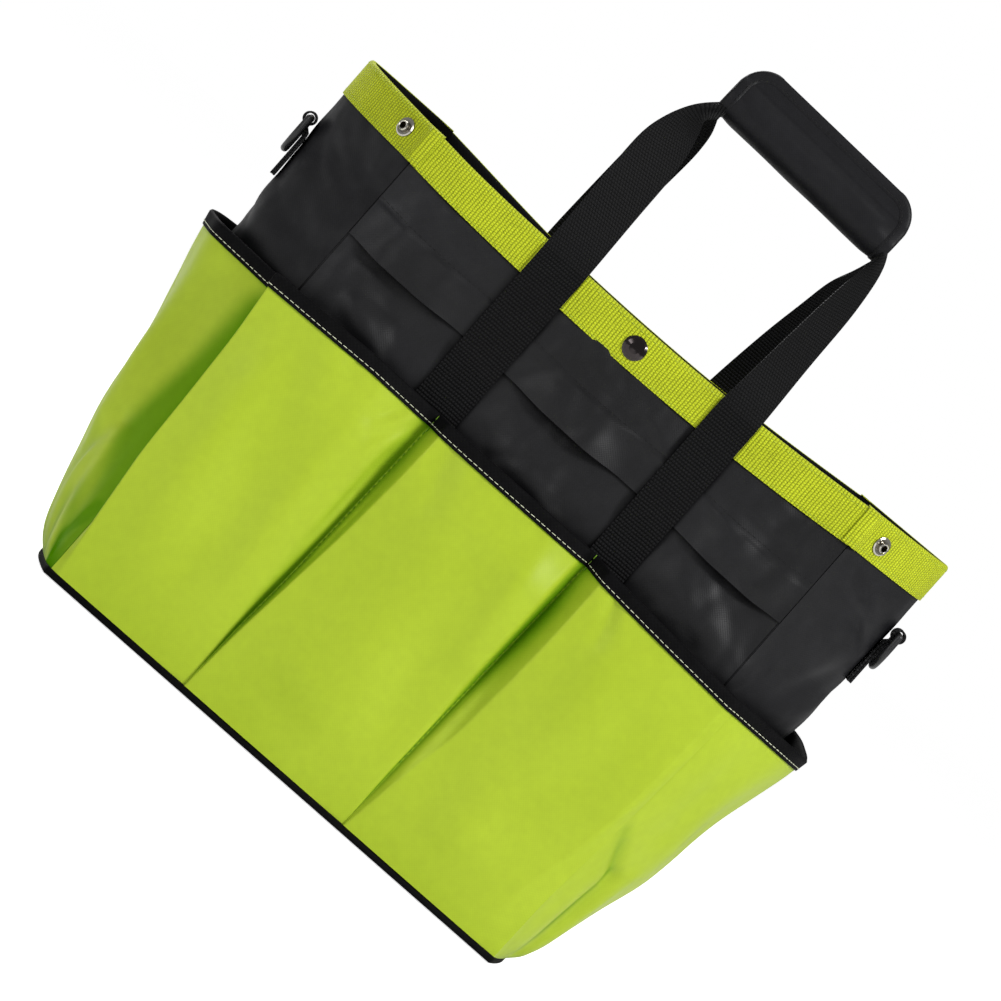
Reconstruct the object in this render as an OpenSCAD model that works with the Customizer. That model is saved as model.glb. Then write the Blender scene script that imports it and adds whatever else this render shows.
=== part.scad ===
// Garden tool bag: a black boxed tote inside a lime skirt of pockets.
// +Z is up, -Y is the front, and the origin is the middle of the base on the floor.

/* [Body] */
// Width of the front and back panels, between the corner seams
panel_w = 326; // [280:1:380]
// Depth of the base, which is also the cut width of each gusset
base_d = 170; // [150:1:200]
// Depth of the mouth, between the two rims
mouth_d = 131; // [110:1:140]
// Height of the finished rim above the floor, at the corners
bag_h = 332; // [315:1:380]
// How far the rim sags at the middle of the front and back panels
rim_sag = 8; // [3:1:12]
// Thickness of the lined black cloth
wall = 1.6; // [1.2:0.1:2.2]
// Thickness of the stiff board that lies on the bottom
board_t = 3; // [2:0.5:5]
// Corner radius of the board
board_r = 12; // [6:1:20]

/* [Upper pockets] */
// Thickness of one ply of unlined cloth
ply = 0.8; // [0.6:0.1:1.2]
// Height of the flap's lower edge above the floor
flap_z = 251; // [240:1:262]
// Height of the hem turned up along the flap's lower edge
hem_h = 26; // [16:1:30]
// How far the slip pocket runs up under the flap
tuck = 11; // [6:1:16]
// Height at which the slip pockets and the sewn webbing start
leg_z = 60; // [40:1:90]

/* [Rim tape] */
// Width of the tape that shows on each side of the rim
tape_h = 25; // [20:1:30]
// Thickness of the tape
tape_t = 1; // [0.8:0.1:1.4]

/* [Skirt] */
// Height of the skirt's top edge
skirt_h = 211; // [190:1:222]
// Thickness of the skirt's coated cloth
skirt_t = 1; // [0.8:0.1:1.4]
// How far each pocket's pleats stand out from its seams, at the top
pleat_out = 14; // [9:1:18]
// Width of a pleat's side fold, from the seam to the pocket's face, at the top
pleat_w = 8; // [5:1:11]
// How much further each pocket's face rounds out between its folds, at the top
face_crown = 5; // [2:1:8]
// Distance of the two pocket seams from the middle
seam_x = 61; // [50:1:72]
// How far the skirt stands off the body's corner, at the top
corner_out = 12; // [8:1:16]
// How much further out than at the base the skirt's corners reach, at the top
corner_spread = 12.8; // [6:0.2:18]
// How far the side pockets stand off the gussets at the base
foot_gap = 2.1; // [1.6:0.1:5]
// How far the side pockets round out just above the base
side_belly = 12; // [10:1:16]
// How far the side pockets stand off the gussets at their top
side_gap = 16.1; // [12:0.1:30]
// Width of the binding that shows along the skirt's top
binding_h = 9; // [7:0.5:12]
// Thickness of the binding
binding_t = 0.8; // [0.6:0.1:1]
// Height of the binding round the base
base_binding_h = 4; // [3:0.5:6]

/* [Handles] */
// Width of the handle webbing
strap_w = 32; // [25:1:38]
// Thickness of the handle webbing
strap_t = 1.6; // [1.2:0.1:2]
// Distance of the sewn legs from the middle
strap_x = 61; // [50:1:72]
// Height of the folded webbing inside the wrap
fold_h = 12; // [10:1:13]
// Height of the wrap's lower edge above the rim's corners
wrap_rise = 107; // [95:1:130]
// Length of the wrap
wrap_l = 127; // [110:1:140]
// How far the wrap sits off the middle of the handles
wrap_shift = 10; // [0:1:12]
// Outer radius of the wrap's rounded lower side
wrap_r = 12; // [11.5:0.5:14]
// Thickness of the wrap's padding
pad = 3.5; // [3:0.5:4]
// Height of the wrap, from its round side to its free edges
wrap_h = 40; // [36:1:46]
// Height of the strip along the free edges where the two halves press together
flange_h = 13; // [9:1:15]
// Thickness of each half along that strip
flange_t = 2; // [1.5:0.1:2.5]
// Radius of the rounded ends of the free edges
wrap_corner = 18; // [8:1:20]
// Thickness of the hook tape and of the loop tape
hook_t = 0.9; // [0.6:0.1:1.2]

/* [Side rings] */
// Width of the webbing tab that holds each ring
tab_w = 20; // [16:1:24]
// Thickness of the tab's webbing
tab_t = 1.4; // [1:0.1:1.6]
// Height of the ring's bar above the floor
bar_z = 287; // [278:1:292]
// Length of the tab's sewn part below the bar
tab_l = 38; // [28:1:42]
// Radius of the ring's round bar
bar_r = 2.3; // [2:0.1:2.6]
// Height of the ring from its bar to its bow
ring_h = 22; // [20:1:26]

/* [Snaps] */
// Diameter of the snap caps
cap_d = 14.5; // [12:0.5:16]
// Diameter of the studs and sockets
stud_d = 11.5; // [10:0.5:13]
// Distance of the gusset snaps from the corner seams
snap_from_corner = 18; // [14:1:24]

/* [Colours] */
// Lime coated cloth
lime = "#A9C432"; // [#A9C432, #C4623A, #3E7FB8]
// Lime webbing
lime_tape = "#B4C52F"; // [#B4C52F, #C96F45, #4B8AC2]
// Black cloth
black = "#1E1D21"; // [#1E1D21, #2B3440]
// Black webbing
black_tape = "#232223"; // [#232223, #303338]
// Snap metal
metal = "#C9C4B4"; // [#C9C4B4, #8A6F45]

/* [Hidden] */

fine = 64;                // facets of round metal and plastic pieces
gap = 0.2;                // between stacked or butted soft layers
rows = 8;                 // rings of a lofted wall, from bottom to top
half_cols = 7;            // columns of a gusset or side pocket, corner to middle
face_cols = 5;            // steps across one pocket's face
nose_pull = 0.42;         // roundness of the gussets' middle, in half depths
half_w = panel_w / 2;
seam_half = half_w + gap;
floor_z = wall + gap;     // where the board lies
foot_z = base_binding_h + gap;               // where the walls and the skirt start
cloth_drop = tape_t + gap;                   // how far the cloth ends below the rim

// ---- the stack of layers on a panel, as offsets from its outer face ----
pocket_off = gap;
flap_off = pocket_off + ply + gap;
tape_off = flap_off + ply + gap;
leg_off_low = pocket_off + ply + gap;
leg_off_high = tape_off + tape_t + gap;
skirt_on_leg = leg_off_low + strap_t + gap + skirt_t;
skirt_on_base = 2 * gap + skirt_t;
leaf = gap + binding_t;                      // one leaf of the binding on its cloth

function clamp01(t) = max(0, min(1, t));
function smooth(t) = let(c = clamp01(t)) c * c * (3 - 2 * c);
function mix(a, b, t) = a + (b - a) * t;
function steps(n) = [for (i = [0:n]) i / n];

// Half depth of the body: the walls ease in from the base to the mouth.
function wall_y(z) =
    let(up = 1 - clamp01(z / bag_h)) mix(mouth_d / 2, base_d / 2, up * up);
// The gussets' cut width is fixed, so their middles move out as the walls ease in.
function wing(z) = sqrt(max(0, pow(base_d / 2, 2) - pow(wall_y(z), 2)));

// Half of a rounded side seen from above: middle m, corner c. a runs -1 to 1.
function side_curve(m, c, pull, a) =
    let(t = abs(a), k = [m[0], pull * c[1]],
        p = (1 - t) * (1 - t) * m + 2 * t * (1 - t) * k + t * t * c)
    [p[0], a < 0 ? -p[1] : p[1]];
function gusset_at(z, a) =
    side_curve([half_w + wing(z), 0], [seam_half, wall_y(z)], nose_pull, a);
function arch_columns() = [for (i = [-half_cols:half_cols]) i / half_cols];
function gusset_arch(z) = [for (a = arch_columns()) gusset_at(z, a)];

// The skirt's corner and side, which stand further out with height.
function skirt_rise(z) = clamp01((z - base_binding_h) / (skirt_h - base_binding_h));
function corner_x(z) = half_w + 2.2 + corner_spread * skirt_rise(z);
function corner_y(z) = wall_y(z) + skirt_on_base + corner_out * skirt_rise(z);
// The side pockets follow the gussets: a belly near the base, then an even flare.
side_out = wing(base_binding_h) + foot_gap;
side_flare = wing(skirt_h) + side_gap - side_out - side_belly;
function side_x(z) = half_w + max(wing(z) + foot_gap,
    side_out + side_flare * skirt_rise(z)
    + side_belly * (1 - exp(-(max(z, base_binding_h) - base_binding_h) / 9)));
function skirt_arch(z) = [for (a = arch_columns())
    side_curve([side_x(z), 0], [corner_x(z) + gap, corner_y(z)], nose_pull, a)];

// Across the skirt's front, bay by bay: bay is 0 to 2 and t is 0 to 1.
function seam_off(z) = mix(skirt_on_base, skirt_on_leg, clamp01(z / (leg_z - 5)))
    + leaf * smooth((z - skirt_h + 40) / 28);
function bay_edges(z) = [
    [-corner_x(z), corner_y(z)], [-seam_x, wall_y(z) + seam_off(z)],
    [seam_x, wall_y(z) + seam_off(z)], [corner_x(z), corner_y(z)]];
// At a seam the cloth folds forwards into a pleat, which closes towards the base.
function pleat(z, side) = [side * (0.8 + pleat_w * skirt_rise(z)),
    0.3 + pleat_out * pow(skirt_rise(z), 1.1)];
function bay_row(z, bay) =
    let(e = bay_edges(z), a = e[bay], b = e[bay + 1],
        pa = bay > 0 ? pleat(z, 1) : [0, 0], pb = bay < 2 ? pleat(z, -1) : [0, 0],
        round_over = [0.45, 0.75])
    concat([a], bay > 0 ? [a + [pa[0] * round_over[0], pa[1] * round_over[1]]] : [],
        [for (i = [bay > 0 ? 0 : 1:bay < 2 ? face_cols : face_cols - 1])
            mix(a + pa, b + pb, i / face_cols)
                + [0, face_crown * skirt_rise(z) * sin(180 * i / face_cols)]],
        bay < 2 ? [b + [pb[0] * round_over[0], pb[1] * round_over[1]]] : []);
function pocket_row(z) = concat([for (bay = [0:2]) each bay_row(z, bay)], [bay_edges(z)[3]]);

// Outward direction, in plan, of a curve that passes through two points.
function outward(before, after) =
    let(d = after - before, l = norm(d)) [d[1] / l, -d[0] / l];
// Outward directions along the back's pockets, which face straight back at the corners.
function pocket_normals(pts) = [for (i = [0:len(pts) - 1])
    i == 0 || i == len(pts) - 1 ? [0, 1] : -outward(pts[i - 1], pts[i + 1])];
// Outward directions along a side's arch. At the corner seams they face front and back.
function arch_normals(pts) = [for (i = [0:len(pts) - 1])
    i == 0 ? [0, -1] : i == len(pts) - 1 ? [0, 1] : outward(pts[i - 1], pts[i + 1])];

// A solid through a row of loops. Each loop lists one face's points and then the
// other face's backwards, so the ends close with a ladder of quads.
module loft(loops, flip = false) {
    m = len(loops[0]);
    k = len(loops);
    half = m / 2;
    sides = [for (i = [0:k - 2], j = [0:m - 1]) let(n = (j + 1) % m)
        each [[i * m + j, i * m + n, (i + 1) * m + n],
            [i * m + j, (i + 1) * m + n, (i + 1) * m + j]]];
    ends = [for (j = [0:half - 2], e = [0, k - 1]) let(b = e * m,
            q = [b + j, b + m - 1 - j, b + m - 2 - j, b + j + 1])
        each e == 0 ? [[q[0], q[1], q[2]], [q[0], q[2], q[3]]]
            : [[q[0], q[2], q[1]], [q[0], q[3], q[2]]]];
    faces = concat(sides, ends);
    polyhedron([for (l = loops) each l],
        flip ? [for (f = faces) [f[2], f[1], f[0]]] : faces, convexity = 8);
}

// Heights of a lofted wall's rings, closer together where it rounds at its foot.
function ring_heights(z0, z1) = [for (t = steps(rows)) mix(z0, z1, pow(t, 1.3))];
// One column of a lofted wall: outer points going up, then inner points going down.
function column(outer, inner, heights) = concat(
    [for (i = [0:len(heights) - 1]) [outer[i][0], outer[i][1], heights[i]]],
    [for (i = [len(heights) - 1:-1:0]) [inner[i][0], inner[i][1], heights[i]]]);
// A wall of a thickness inside a stack of outlines in plan, one for each height.
// Each outline has its own outward directions, which the wall's thickness follows.
module lofted_wall(outlines, normals, t, heights, flip = false) {
    loft([for (j = [0:len(outlines[0]) - 1]) column(
        [for (o = outlines) o[j]],
        [for (i = [0:len(outlines) - 1]) outlines[i][j] - t * normals[i][j]], heights)],
        flip);
}

// A (y, z) outline run along X for a length, about a middle.
module along_x(length, middle = 0) {
    translate([middle, 0, 0]) rotate([90, 0, 90])
        linear_extrude(length, center = true) children();
}
module front() { mirror([0, 1, 0]) children(); }
module left() { mirror([1, 0, 0]) children(); }

// A layer on the back panel: off and t are functions of height, given at each step.
module layer(width, z0, z1, off, t, middle = 0) {
    zs = [for (s = steps(rows)) mix(z0, z1, s)];
    along_x(width, middle) polygon(concat(
        [for (z = zs) [wall_y(z) + off, z]],
        [for (i = [rows:-1:0]) [wall_y(zs[i]) + off + t, zs[i]]]));
}

// The rim's sag is an arc through both corners. This is all that lies above the arc
// when it is lowered by some drop, as a shape in X and Z.
arc_r = (half_w * half_w + rim_sag * rim_sag) / (2 * rim_sag);
module above_rim(drop) {
    translate([0, bag_h - rim_sag + arc_r - drop]) circle(arc_r, $fn = 1440);
}
// A band of a width that follows the rim between two drops, from y0 to y1.
module rim_band(width, low, high, y0, y1) {
    translate([0, y1, 0]) rotate([90, 0, 0]) linear_extrude(y1 - y0) difference() {
        intersection() {
            translate([-width / 2, bag_h - rim_sag - low - 1])
                square([width, rim_sag + low + 1]);
            above_rim(low);
        }
        above_rim(high);
    }
}
// Cuts a panel off where its rim tape folds over.
module cloth_trim() {
    translate([0, base_d, 0]) rotate([90, 0, 0]) linear_extrude(base_d)
        above_rim(cloth_drop);
}

// ---- snap places ----
panel_snap_z = bag_h - rim_sag - tape_h / 2;
snap_z = bag_h - tape_h / 2;
shank_r = 1.9;
hole_r = shank_r + 0.15;
outer_seat = mouth_d / 2 + tape_off + tape_t;
inner_seat = mouth_d / 2 - wall - gap - tape_t;
side_leaf = gap + tape_t;
// Where the gusset snaps lie on the side curve, as its a value.
corner_pull = norm([half_w + wing(snap_z), nose_pull * wall_y(snap_z)]
    - [seam_half, wall_y(snap_z)]);
snap_a = 1 - snap_from_corner / (2 * corner_pull);
module at_gusset_snap(a) {
    p = gusset_at(snap_z, a);
    n = outward(gusset_at(snap_z, a - 0.02), gusset_at(snap_z, a + 0.02));
    translate([p[0], p[1], snap_z]) rotate([0, 0, atan2(n[1], n[0])])
        rotate([0, 90, 0]) children();
}
module at_panel_snap() {
    translate([0, outer_seat, panel_snap_z]) rotate([-90, 0, 0]) children();
}
module panel_snap_hole() {
    translate([0, mouth_d / 2, panel_snap_z]) rotate([90, 0, 0])
        cylinder(r = hole_r, h = 40, center = true, $fn = fine);
}
module gusset_snap_holes() {
    for (s = [-1, 1]) at_gusset_snap(s * snap_a)
        cylinder(r = hole_r, h = 20, center = true, $fn = fine);
}

// ---- base ----
base_z = base_binding_h;
function base_side(grow) = [for (a = arch_columns())
    side_curve([side_x(base_z) + grow, 0], [corner_x(base_z) + grow, corner_y(base_z) + grow],
        nose_pull, a)];
module base_outline(grow) {
    side = base_side(grow);
    polygon(concat(side, [for (i = [len(side) - 1:-1:0]) [-side[i][0], side[i][1]]]));
}
base_ring = 3;            // width of the binding round the base
module base_board() {
    w = panel_w - 2 * wall - 2;
    d = base_d - 2 * wall - 3;
    color("#55524E") translate([0, 0, floor_z]) linear_extrude(board_t) {
        square([w - 2 * board_r, d], center = true);
        square([w, d - 2 * board_r], center = true);
        for (x = [-1, 1], y = [-1, 1])
            translate([x * (w / 2 - board_r), y * (d / 2 - board_r)])
                circle(board_r, $fn = fine);
    }
}
module bottom_panel() {
    color(black) linear_extrude(wall) base_outline(-base_ring);
}
module bottom_binding() {
    color(black_tape) linear_extrude(base_binding_h) difference() {
        base_outline(0.8);
        base_outline(0.8 - base_ring + gap);
    }
}

// ---- body ----
module body_panel() {
    color(black) difference() {
        layer(panel_w, foot_z, bag_h, -wall, wall);
        cloth_trim();
        panel_snap_hole();
    }
}
module front_panel() { front() body_panel(); }
module back_panel() { body_panel(); }
module gusset() {
    hs = ring_heights(foot_z, bag_h - cloth_drop);
    arches = [for (z = hs) gusset_arch(z)];
    color(black) difference() {
        lofted_wall(arches, [for (p = arches) arch_normals(p)], wall, hs);
        gusset_snap_holes();
    }
}
module right_gusset() { gusset(); }
module left_gusset() { left() gusset(); }

// ---- slip pockets and flaps ----
module slip_pocket() {
    color(black) layer(panel_w - 2, leg_z, flap_z + tuck, pocket_off, ply);
}
module front_slip_pocket() { front() slip_pocket(); }
module back_slip_pocket() { slip_pocket(); }
module flap() {
    color(black) difference() {
        union() {
            layer(panel_w - 1, flap_z, bag_h, flap_off, ply);
            layer(panel_w - 1, flap_z, flap_z + hem_h, flap_off + ply / 2, 1.5 * ply);
        }
        cloth_trim();
        panel_snap_hole();
    }
}
module front_flap() { front() flap(); }
module back_flap() { flap(); }

// ---- rim tape ----
// A tape folded over an edge: outer leaf, top and inner leaf, as an outline.
function folded_tape(outer, inner, t, low, top) = [
    [outer, low], [outer, top], [inner, top], [inner, low],
    [inner + t, low], [inner + t, top - t], [outer - t, top - t], [outer - t, low]];
module rim_tape() {
    w = panel_w - 2 * gap;
    color(lime_tape) difference() {
        rim_band(w, tape_h, 0, inner_seat, outer_seat);
        rim_band(w + 2, tape_h + 1, tape_t, inner_seat + tape_t, outer_seat - tape_t);
        panel_snap_hole();
    }
}
module rim_tape_front() { front() rim_tape(); }
module rim_tape_back() { rim_tape(); }

// A tape folded over the edge of a cloth of some thickness. It follows the edge from
// its lower outline in plan to its upper one, with the edge's outward directions.
module edge_tape(lower, upper, normals, cloth, t, low, top, flip = false) {
    loft([for (j = [0:len(upper) - 1])
        [for (q = folded_tape(gap + t, -cloth - gap - t, t, low, top))
            let(p = mix(lower[j], upper[j], (q[1] - low) / (top - low)) + q[0] * normals[j])
            [p[0], p[1], q[1]]]], flip);
}
module side_tape() {
    low = gusset_arch(bag_h - tape_h);
    top = gusset_arch(bag_h);
    color(lime_tape) difference() {
        edge_tape(low, top, arch_normals(top), wall, tape_t, bag_h - tape_h, bag_h);
        gusset_snap_holes();
    }
}
module rim_tape_right() { side_tape(); }
module rim_tape_left() { left() side_tape(); }

// ---- skirt ----
skirt_top = skirt_h - leaf;
binding_z = skirt_h - binding_h;
function skirt_heights() = concat(ring_heights(foot_z, binding_z), [skirt_top]);
module skirt_panel() {
    hs = skirt_heights();
    outlines = [for (z = hs) pocket_row(z)];
    color(lime) lofted_wall(outlines, [for (o = outlines) pocket_normals(o)], skirt_t, hs,
        flip = true);
}
module skirt_front() { front() skirt_panel(); }
module skirt_back() { skirt_panel(); }
module side_pocket() {
    hs = skirt_heights();
    arches = [for (z = hs) skirt_arch(z)];
    color(lime) lofted_wall(arches, [for (p = arches) arch_normals(p)], skirt_t, hs);
}
module skirt_right() { side_pocket(); }
module skirt_left() { left() side_pocket(); }

// ---- skirt binding ----
module pocket_binding() {
    top = pocket_row(skirt_h);
    color(black_tape) edge_tape(pocket_row(binding_z), top, pocket_normals(top), skirt_t,
        binding_t, binding_z, skirt_h, flip = true);
}
module binding_front() { front() pocket_binding(); }
module binding_back() { pocket_binding(); }
module side_binding() {
    top = skirt_arch(skirt_h);
    color(black_tape) edge_tape(skirt_arch(binding_z), top, arch_normals(top), skirt_t,
        binding_t, binding_z, skirt_h);
}
module binding_right() { side_binding(); }
module binding_left() { left() side_binding(); }

// ---- handle webbing ----
// The free webbing turns just above the rim, which has sagged a little there.
strap_sag = rim_sag * (1 - pow(strap_x / half_w, 2));
fold_z = bag_h - strap_sag + 4;
fold_gap = 0.6;                              // room for the fold as the handles lean
fold_y = mouth_d / 2 + leg_off_high + strap_t / 2;
function leg_off(z) = mix(leg_off_low, leg_off_high, smooth((z - flap_z + 25) / 22));
module handle_legs() {
    zs = [for (s = steps(2 * rows)) mix(leg_z, fold_z - fold_gap, s)];
    profile = concat(
        [for (z = zs) [wall_y(z) + leg_off(z), z]],
        [for (i = [len(zs) - 1:-1:0]) [wall_y(zs[i]) + leg_off(zs[i]) + strap_t, zs[i]]]);
    color(black_tape) for (s = [-1, 1]) along_x(strap_w, s * strap_x) polygon(profile);
}
module front_handle_legs() { front() handle_legs(); }
module back_handle_legs() { handle_legs(); }

// Free webbing: a curve from the rim to the wrap's end, narrowing as it folds in two.
wrap_z = bag_h + wrap_rise;
fold_t = 2 * strap_t - 0.4;
hold_y = gap + fold_t / 2;
hold_z = wrap_z + wrap_r;
lean = atan2(fold_y - hold_y, hold_z - fold_z);
function wrap_end(s) = wrap_shift + s * wrap_l / 2;
tuck_in = 2;              // how far inside the wrap the webbing runs level
function riser_curve(s, t) =
    let(p0 = [s * strap_x, fold_y, fold_z],
        p1 = p0 + 55 * [0, -sin(lean), cos(lean)],
        p3 = [wrap_end(s) - s * tuck_in, hold_y, hold_z],
        p2 = p3 + [s * 27, 0, -1], u = 1 - t)
    u * u * u * p0 + 3 * u * u * t * p1 + 3 * u * t * t * p2 + t * t * t * p3;
// One cross-section: centre p, direction of travel d, width w and thickness t.
function band(p, d, w, t) =
    let(c = [-d[2], 0, d[0]] / norm([d[2], d[0]]) * w / 2, n = [0, t / 2, 0])
    [p - c - n, p + c - n, p + c + n, p - c + n];
function riser_band(s, t, way) =
    band(riser_curve(s, t), way * (riser_curve(s, min(1, t + 0.02)) - riser_curve(s, t - 0.02)),
        mix(strap_w, fold_h, smooth((t - 0.35) / 0.45)),
        mix(strap_t / cos(lean), fold_t, smooth((t - 0.35) / 0.45)));
riser_rows = 12;
function middle_band(s, inset) =
    band([wrap_end(s) - s * inset, hold_y, hold_z], [1, 0, 0], fold_h, fold_t);
module front_handle_risers() {
    color(black_tape) front() for (s = [-1, 1])
        loft([for (t = steps(riser_rows)) riser_band(s, min(t, 0.985), 1)]);
}
module front_handle_middle() {
    color(black_tape) front() loft([for (s = [-1, 1]) middle_band(s, 2 * tuck_in)]);
}
module back_handle_loop() {
    up = [for (i = [0:riser_rows - 1]) riser_band(-1, i / riser_rows, 1)];
    down = [for (i = [riser_rows - 1:-1:0]) riser_band(1, i / riser_rows, -1)];
    level = [for (s = [-1, 1]) middle_band(s, tuck_in)];
    color(black_tape) loft(concat(up, level, down));
}

// ---- wrap ----
inner_half = hook_t + gap;                   // half the space between the free edges
hinge_y = -4;
module wrap_outline(r, half, top) {
    translate([0, wrap_z + wrap_r]) hull() {
        circle(r, $fn = fine);
        translate([-half, wrap_h - wrap_r - flange_h]) square([2 * half, 0.1]);
    }
    translate([-half, wrap_z + wrap_h - flange_h]) square([2 * half, top]);
}
module wrap_section() {
    difference() {
        wrap_outline(wrap_r, inner_half + flange_t, flange_h);
        wrap_outline(wrap_r - pad, inner_half, flange_h + 1);
    }
}
// The wrap seen from the front: free edges with rounded corners.
module wrap_face() {
    r = wrap_corner;
    translate([wrap_shift, 60, 0]) rotate([90, 0, 0]) linear_extrude(120) {
        translate([-wrap_l / 2, wrap_z - 1]) square([wrap_l, wrap_h + 1 - r]);
        translate([r - wrap_l / 2, wrap_z]) square([wrap_l - 2 * r, wrap_h]);
        for (s = [-1, 1]) translate([s * (wrap_l / 2 - r), wrap_z + wrap_h - r])
            circle(r, $fn = fine);
    }
}
module wrap_half(low_y, high_y, split_low, split_high) {
    intersection() {
        along_x(wrap_l + 10, wrap_shift) intersection() {
            wrap_section();
            union() {
                translate([low_y, wrap_z - 1]) square([high_y - low_y, 12]);
                translate([split_low, wrap_z + 10])
                    square([split_high - split_low, wrap_h]);
            }
        }
        wrap_face();
    }
}
module wrap_back_half() {
    color(black_tape) wrap_half(hinge_y + gap, wrap_r + 1, 0, wrap_r + 1);
}
module wrap_front_flap() {
    color(black_tape) wrap_half(-wrap_r - 1, hinge_y - gap, -wrap_r - 1, 0);
}
module closure_tape(y) {
    color("#2A2A2C") along_x(wrap_l - 2 * wrap_corner - 4, wrap_shift)
        translate([y, wrap_z + wrap_h - flange_h + 0.5]) square([hook_t, flange_h - 1]);
}
module wrap_hook_tape() { closure_tape(-hook_t - gap / 2); }
module wrap_loop_tape() { closure_tape(gap / 2); }

// ---- side rings ----
eye_r = bar_r + 0.5;                         // the tab's loop round the ring's bar
tab_x = half_w + wing(bar_z - tab_l / 2) + gap;
bar_x = tab_x + 2 * tab_t + gap + bar_r + 0.6;
ring_in = tab_w + 1.6;
module ring_tab() {
    low = bar_z - tab_l;
    join = bar_z - eye_r - 5;
    slope = 0.035;                           // the gusset leans out as it rises
    color(black_tape) translate([0, tab_w / 2, 0]) rotate([90, 0, 0]) linear_extrude(tab_w)
        difference() {
            union() {
                polygon([[tab_x + slope * (low - bar_z) + 0.5, low], [tab_x + 2 * tab_t, low],
                    [tab_x + 2 * tab_t, join], [bar_x + eye_r + tab_t, bar_z],
                    [bar_x - eye_r - tab_t, bar_z], [tab_x + 0.5, join]]);
                translate([bar_x, bar_z]) circle(eye_r + tab_t, $fn = fine);
            }
            translate([bar_x, bar_z]) circle(eye_r, $fn = fine);
        }
}
module right_ring_tab() { ring_tab(); }
module left_ring_tab() { left() ring_tab(); }
module d_ring() {
    bow = ring_in / 2 + bar_r;
    leg = ring_h - bow;
    color("#1B1B1C") translate([bar_x, 0, bar_z]) {
        rotate([90, 0, 0]) cylinder(r = bar_r, h = 2 * bow, center = true, $fn = fine);
        for (s = [-1, 1]) translate([0, s * bow, 0]) {
            sphere(bar_r, $fn = fine);
            translate([0, 0, -leg]) cylinder(r = bar_r, h = leg, $fn = fine);
        }
        translate([0, 0, -leg]) rotate([0, 90, 0]) rotate([0, 0, -90])
            rotate_extrude(angle = 180, $fn = fine) translate([bow, 0]) circle(bar_r, $fn = fine);
    }
}
module right_d_ring() { d_ring(); }
module left_d_ring() { left() d_ring(); }

// ---- snaps, drawn along +Z away from the cloth ----
// A domed cap whose shank passes through the stack to the far side.
module snap_cap(d, stack) {
    r = d / 2;
    rotate_extrude($fn = fine) polygon([[0, 2.4], [r * 0.45, 2.15], [r * 0.8, 1.5],
        [r, 0.6], [r, 0.1], [shank_r, 0.1], [shank_r, -stack], [0, -stack]]);
}
// A socket: a ring with a rolled lip round a recess for the stud.
module snap_socket(d) {
    r = d / 2;
    rotate_extrude($fn = fine) polygon([[hole_r, 0.1], [r, 0.1], [r, 1.2], [r * 0.82, 2],
        [r * 0.78, 3.2], [r * 0.62, 3.4], [r * 0.56, 3], [r * 0.56, 1], [hole_r, 1]]);
}
// A stud: a flange with a hollow head that is wider at its top.
module snap_stud(d) {
    r = d / 2;
    rotate_extrude($fn = fine) polygon([[hole_r, 0.1], [r, 0.1], [r, 0.9], [r * 0.86, 1.3],
        [r * 0.52, 1.3], [r * 0.5, 2.2], [r * 0.55, 3.2], [r * 0.46, 3.8], [r * 0.36, 3.6],
        [r * 0.36, 1], [hole_r, 1]]);
}
module turn_over() { rotate([180, 0, 0]) children(); }
panel_depth = outer_seat - inner_seat;
gusset_depth = wall + 2 * side_leaf + 0.3;   // the flat caps span the tape's inner curve
module front_snap_cap() {
    color(metal) front() at_panel_snap() snap_cap(cap_d, panel_depth + 0.9);
}
module front_snap_socket() {
    color(metal) front() at_panel_snap()
        translate([0, 0, -panel_depth]) turn_over() snap_socket(stud_d);
}
module back_snap_cap() {
    color(metal) at_panel_snap() snap_cap(cap_d, panel_depth + 0.9);
}
module back_snap_stud() {
    color(metal) at_panel_snap()
        translate([0, 0, -panel_depth]) turn_over() snap_stud(stud_d);
}
module gusset_pair() {
    children();
    left() children();
}
module gusset_snap_studs() {
    color(metal) gusset_pair() at_gusset_snap(-snap_a)
        translate([0, 0, side_leaf]) snap_stud(stud_d);
}
module gusset_stud_posts() {
    color(metal) gusset_pair() at_gusset_snap(-snap_a)
        translate([0, 0, side_leaf - gusset_depth]) turn_over()
            snap_cap(stud_d, gusset_depth + 0.9);
}
module gusset_snap_sockets() {
    color(metal) gusset_pair() at_gusset_snap(snap_a)
        translate([0, 0, side_leaf]) snap_socket(stud_d);
}
module gusset_socket_posts() {
    color(metal) gusset_pair() at_gusset_snap(snap_a)
        translate([0, 0, side_leaf - gusset_depth]) turn_over()
            snap_cap(stud_d, gusset_depth + 0.9);
}

base_board();
bottom_panel();
bottom_binding();
front_panel();
back_panel();
left_gusset();
right_gusset();
front_slip_pocket();
back_slip_pocket();
front_flap();
back_flap();
skirt_front();
skirt_back();
skirt_left();
skirt_right();
binding_front();
binding_back();
binding_left();
binding_right();
rim_tape_front();
rim_tape_back();
rim_tape_left();
rim_tape_right();
front_handle_legs();
back_handle_legs();
front_handle_risers();
front_handle_middle();
back_handle_loop();
wrap_back_half();
wrap_front_flap();
wrap_hook_tape();
wrap_loop_tape();
left_ring_tab();
right_ring_tab();
left_d_ring();
right_d_ring();
front_snap_cap();
front_snap_socket();
back_snap_stud();
back_snap_cap();
gusset_snap_studs();
gusset_stud_posts();
gusset_snap_sockets();
gusset_socket_posts();
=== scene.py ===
import math

import bpy
import numpy as np
from mathutils import Euler, Matrix, Vector


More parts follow.
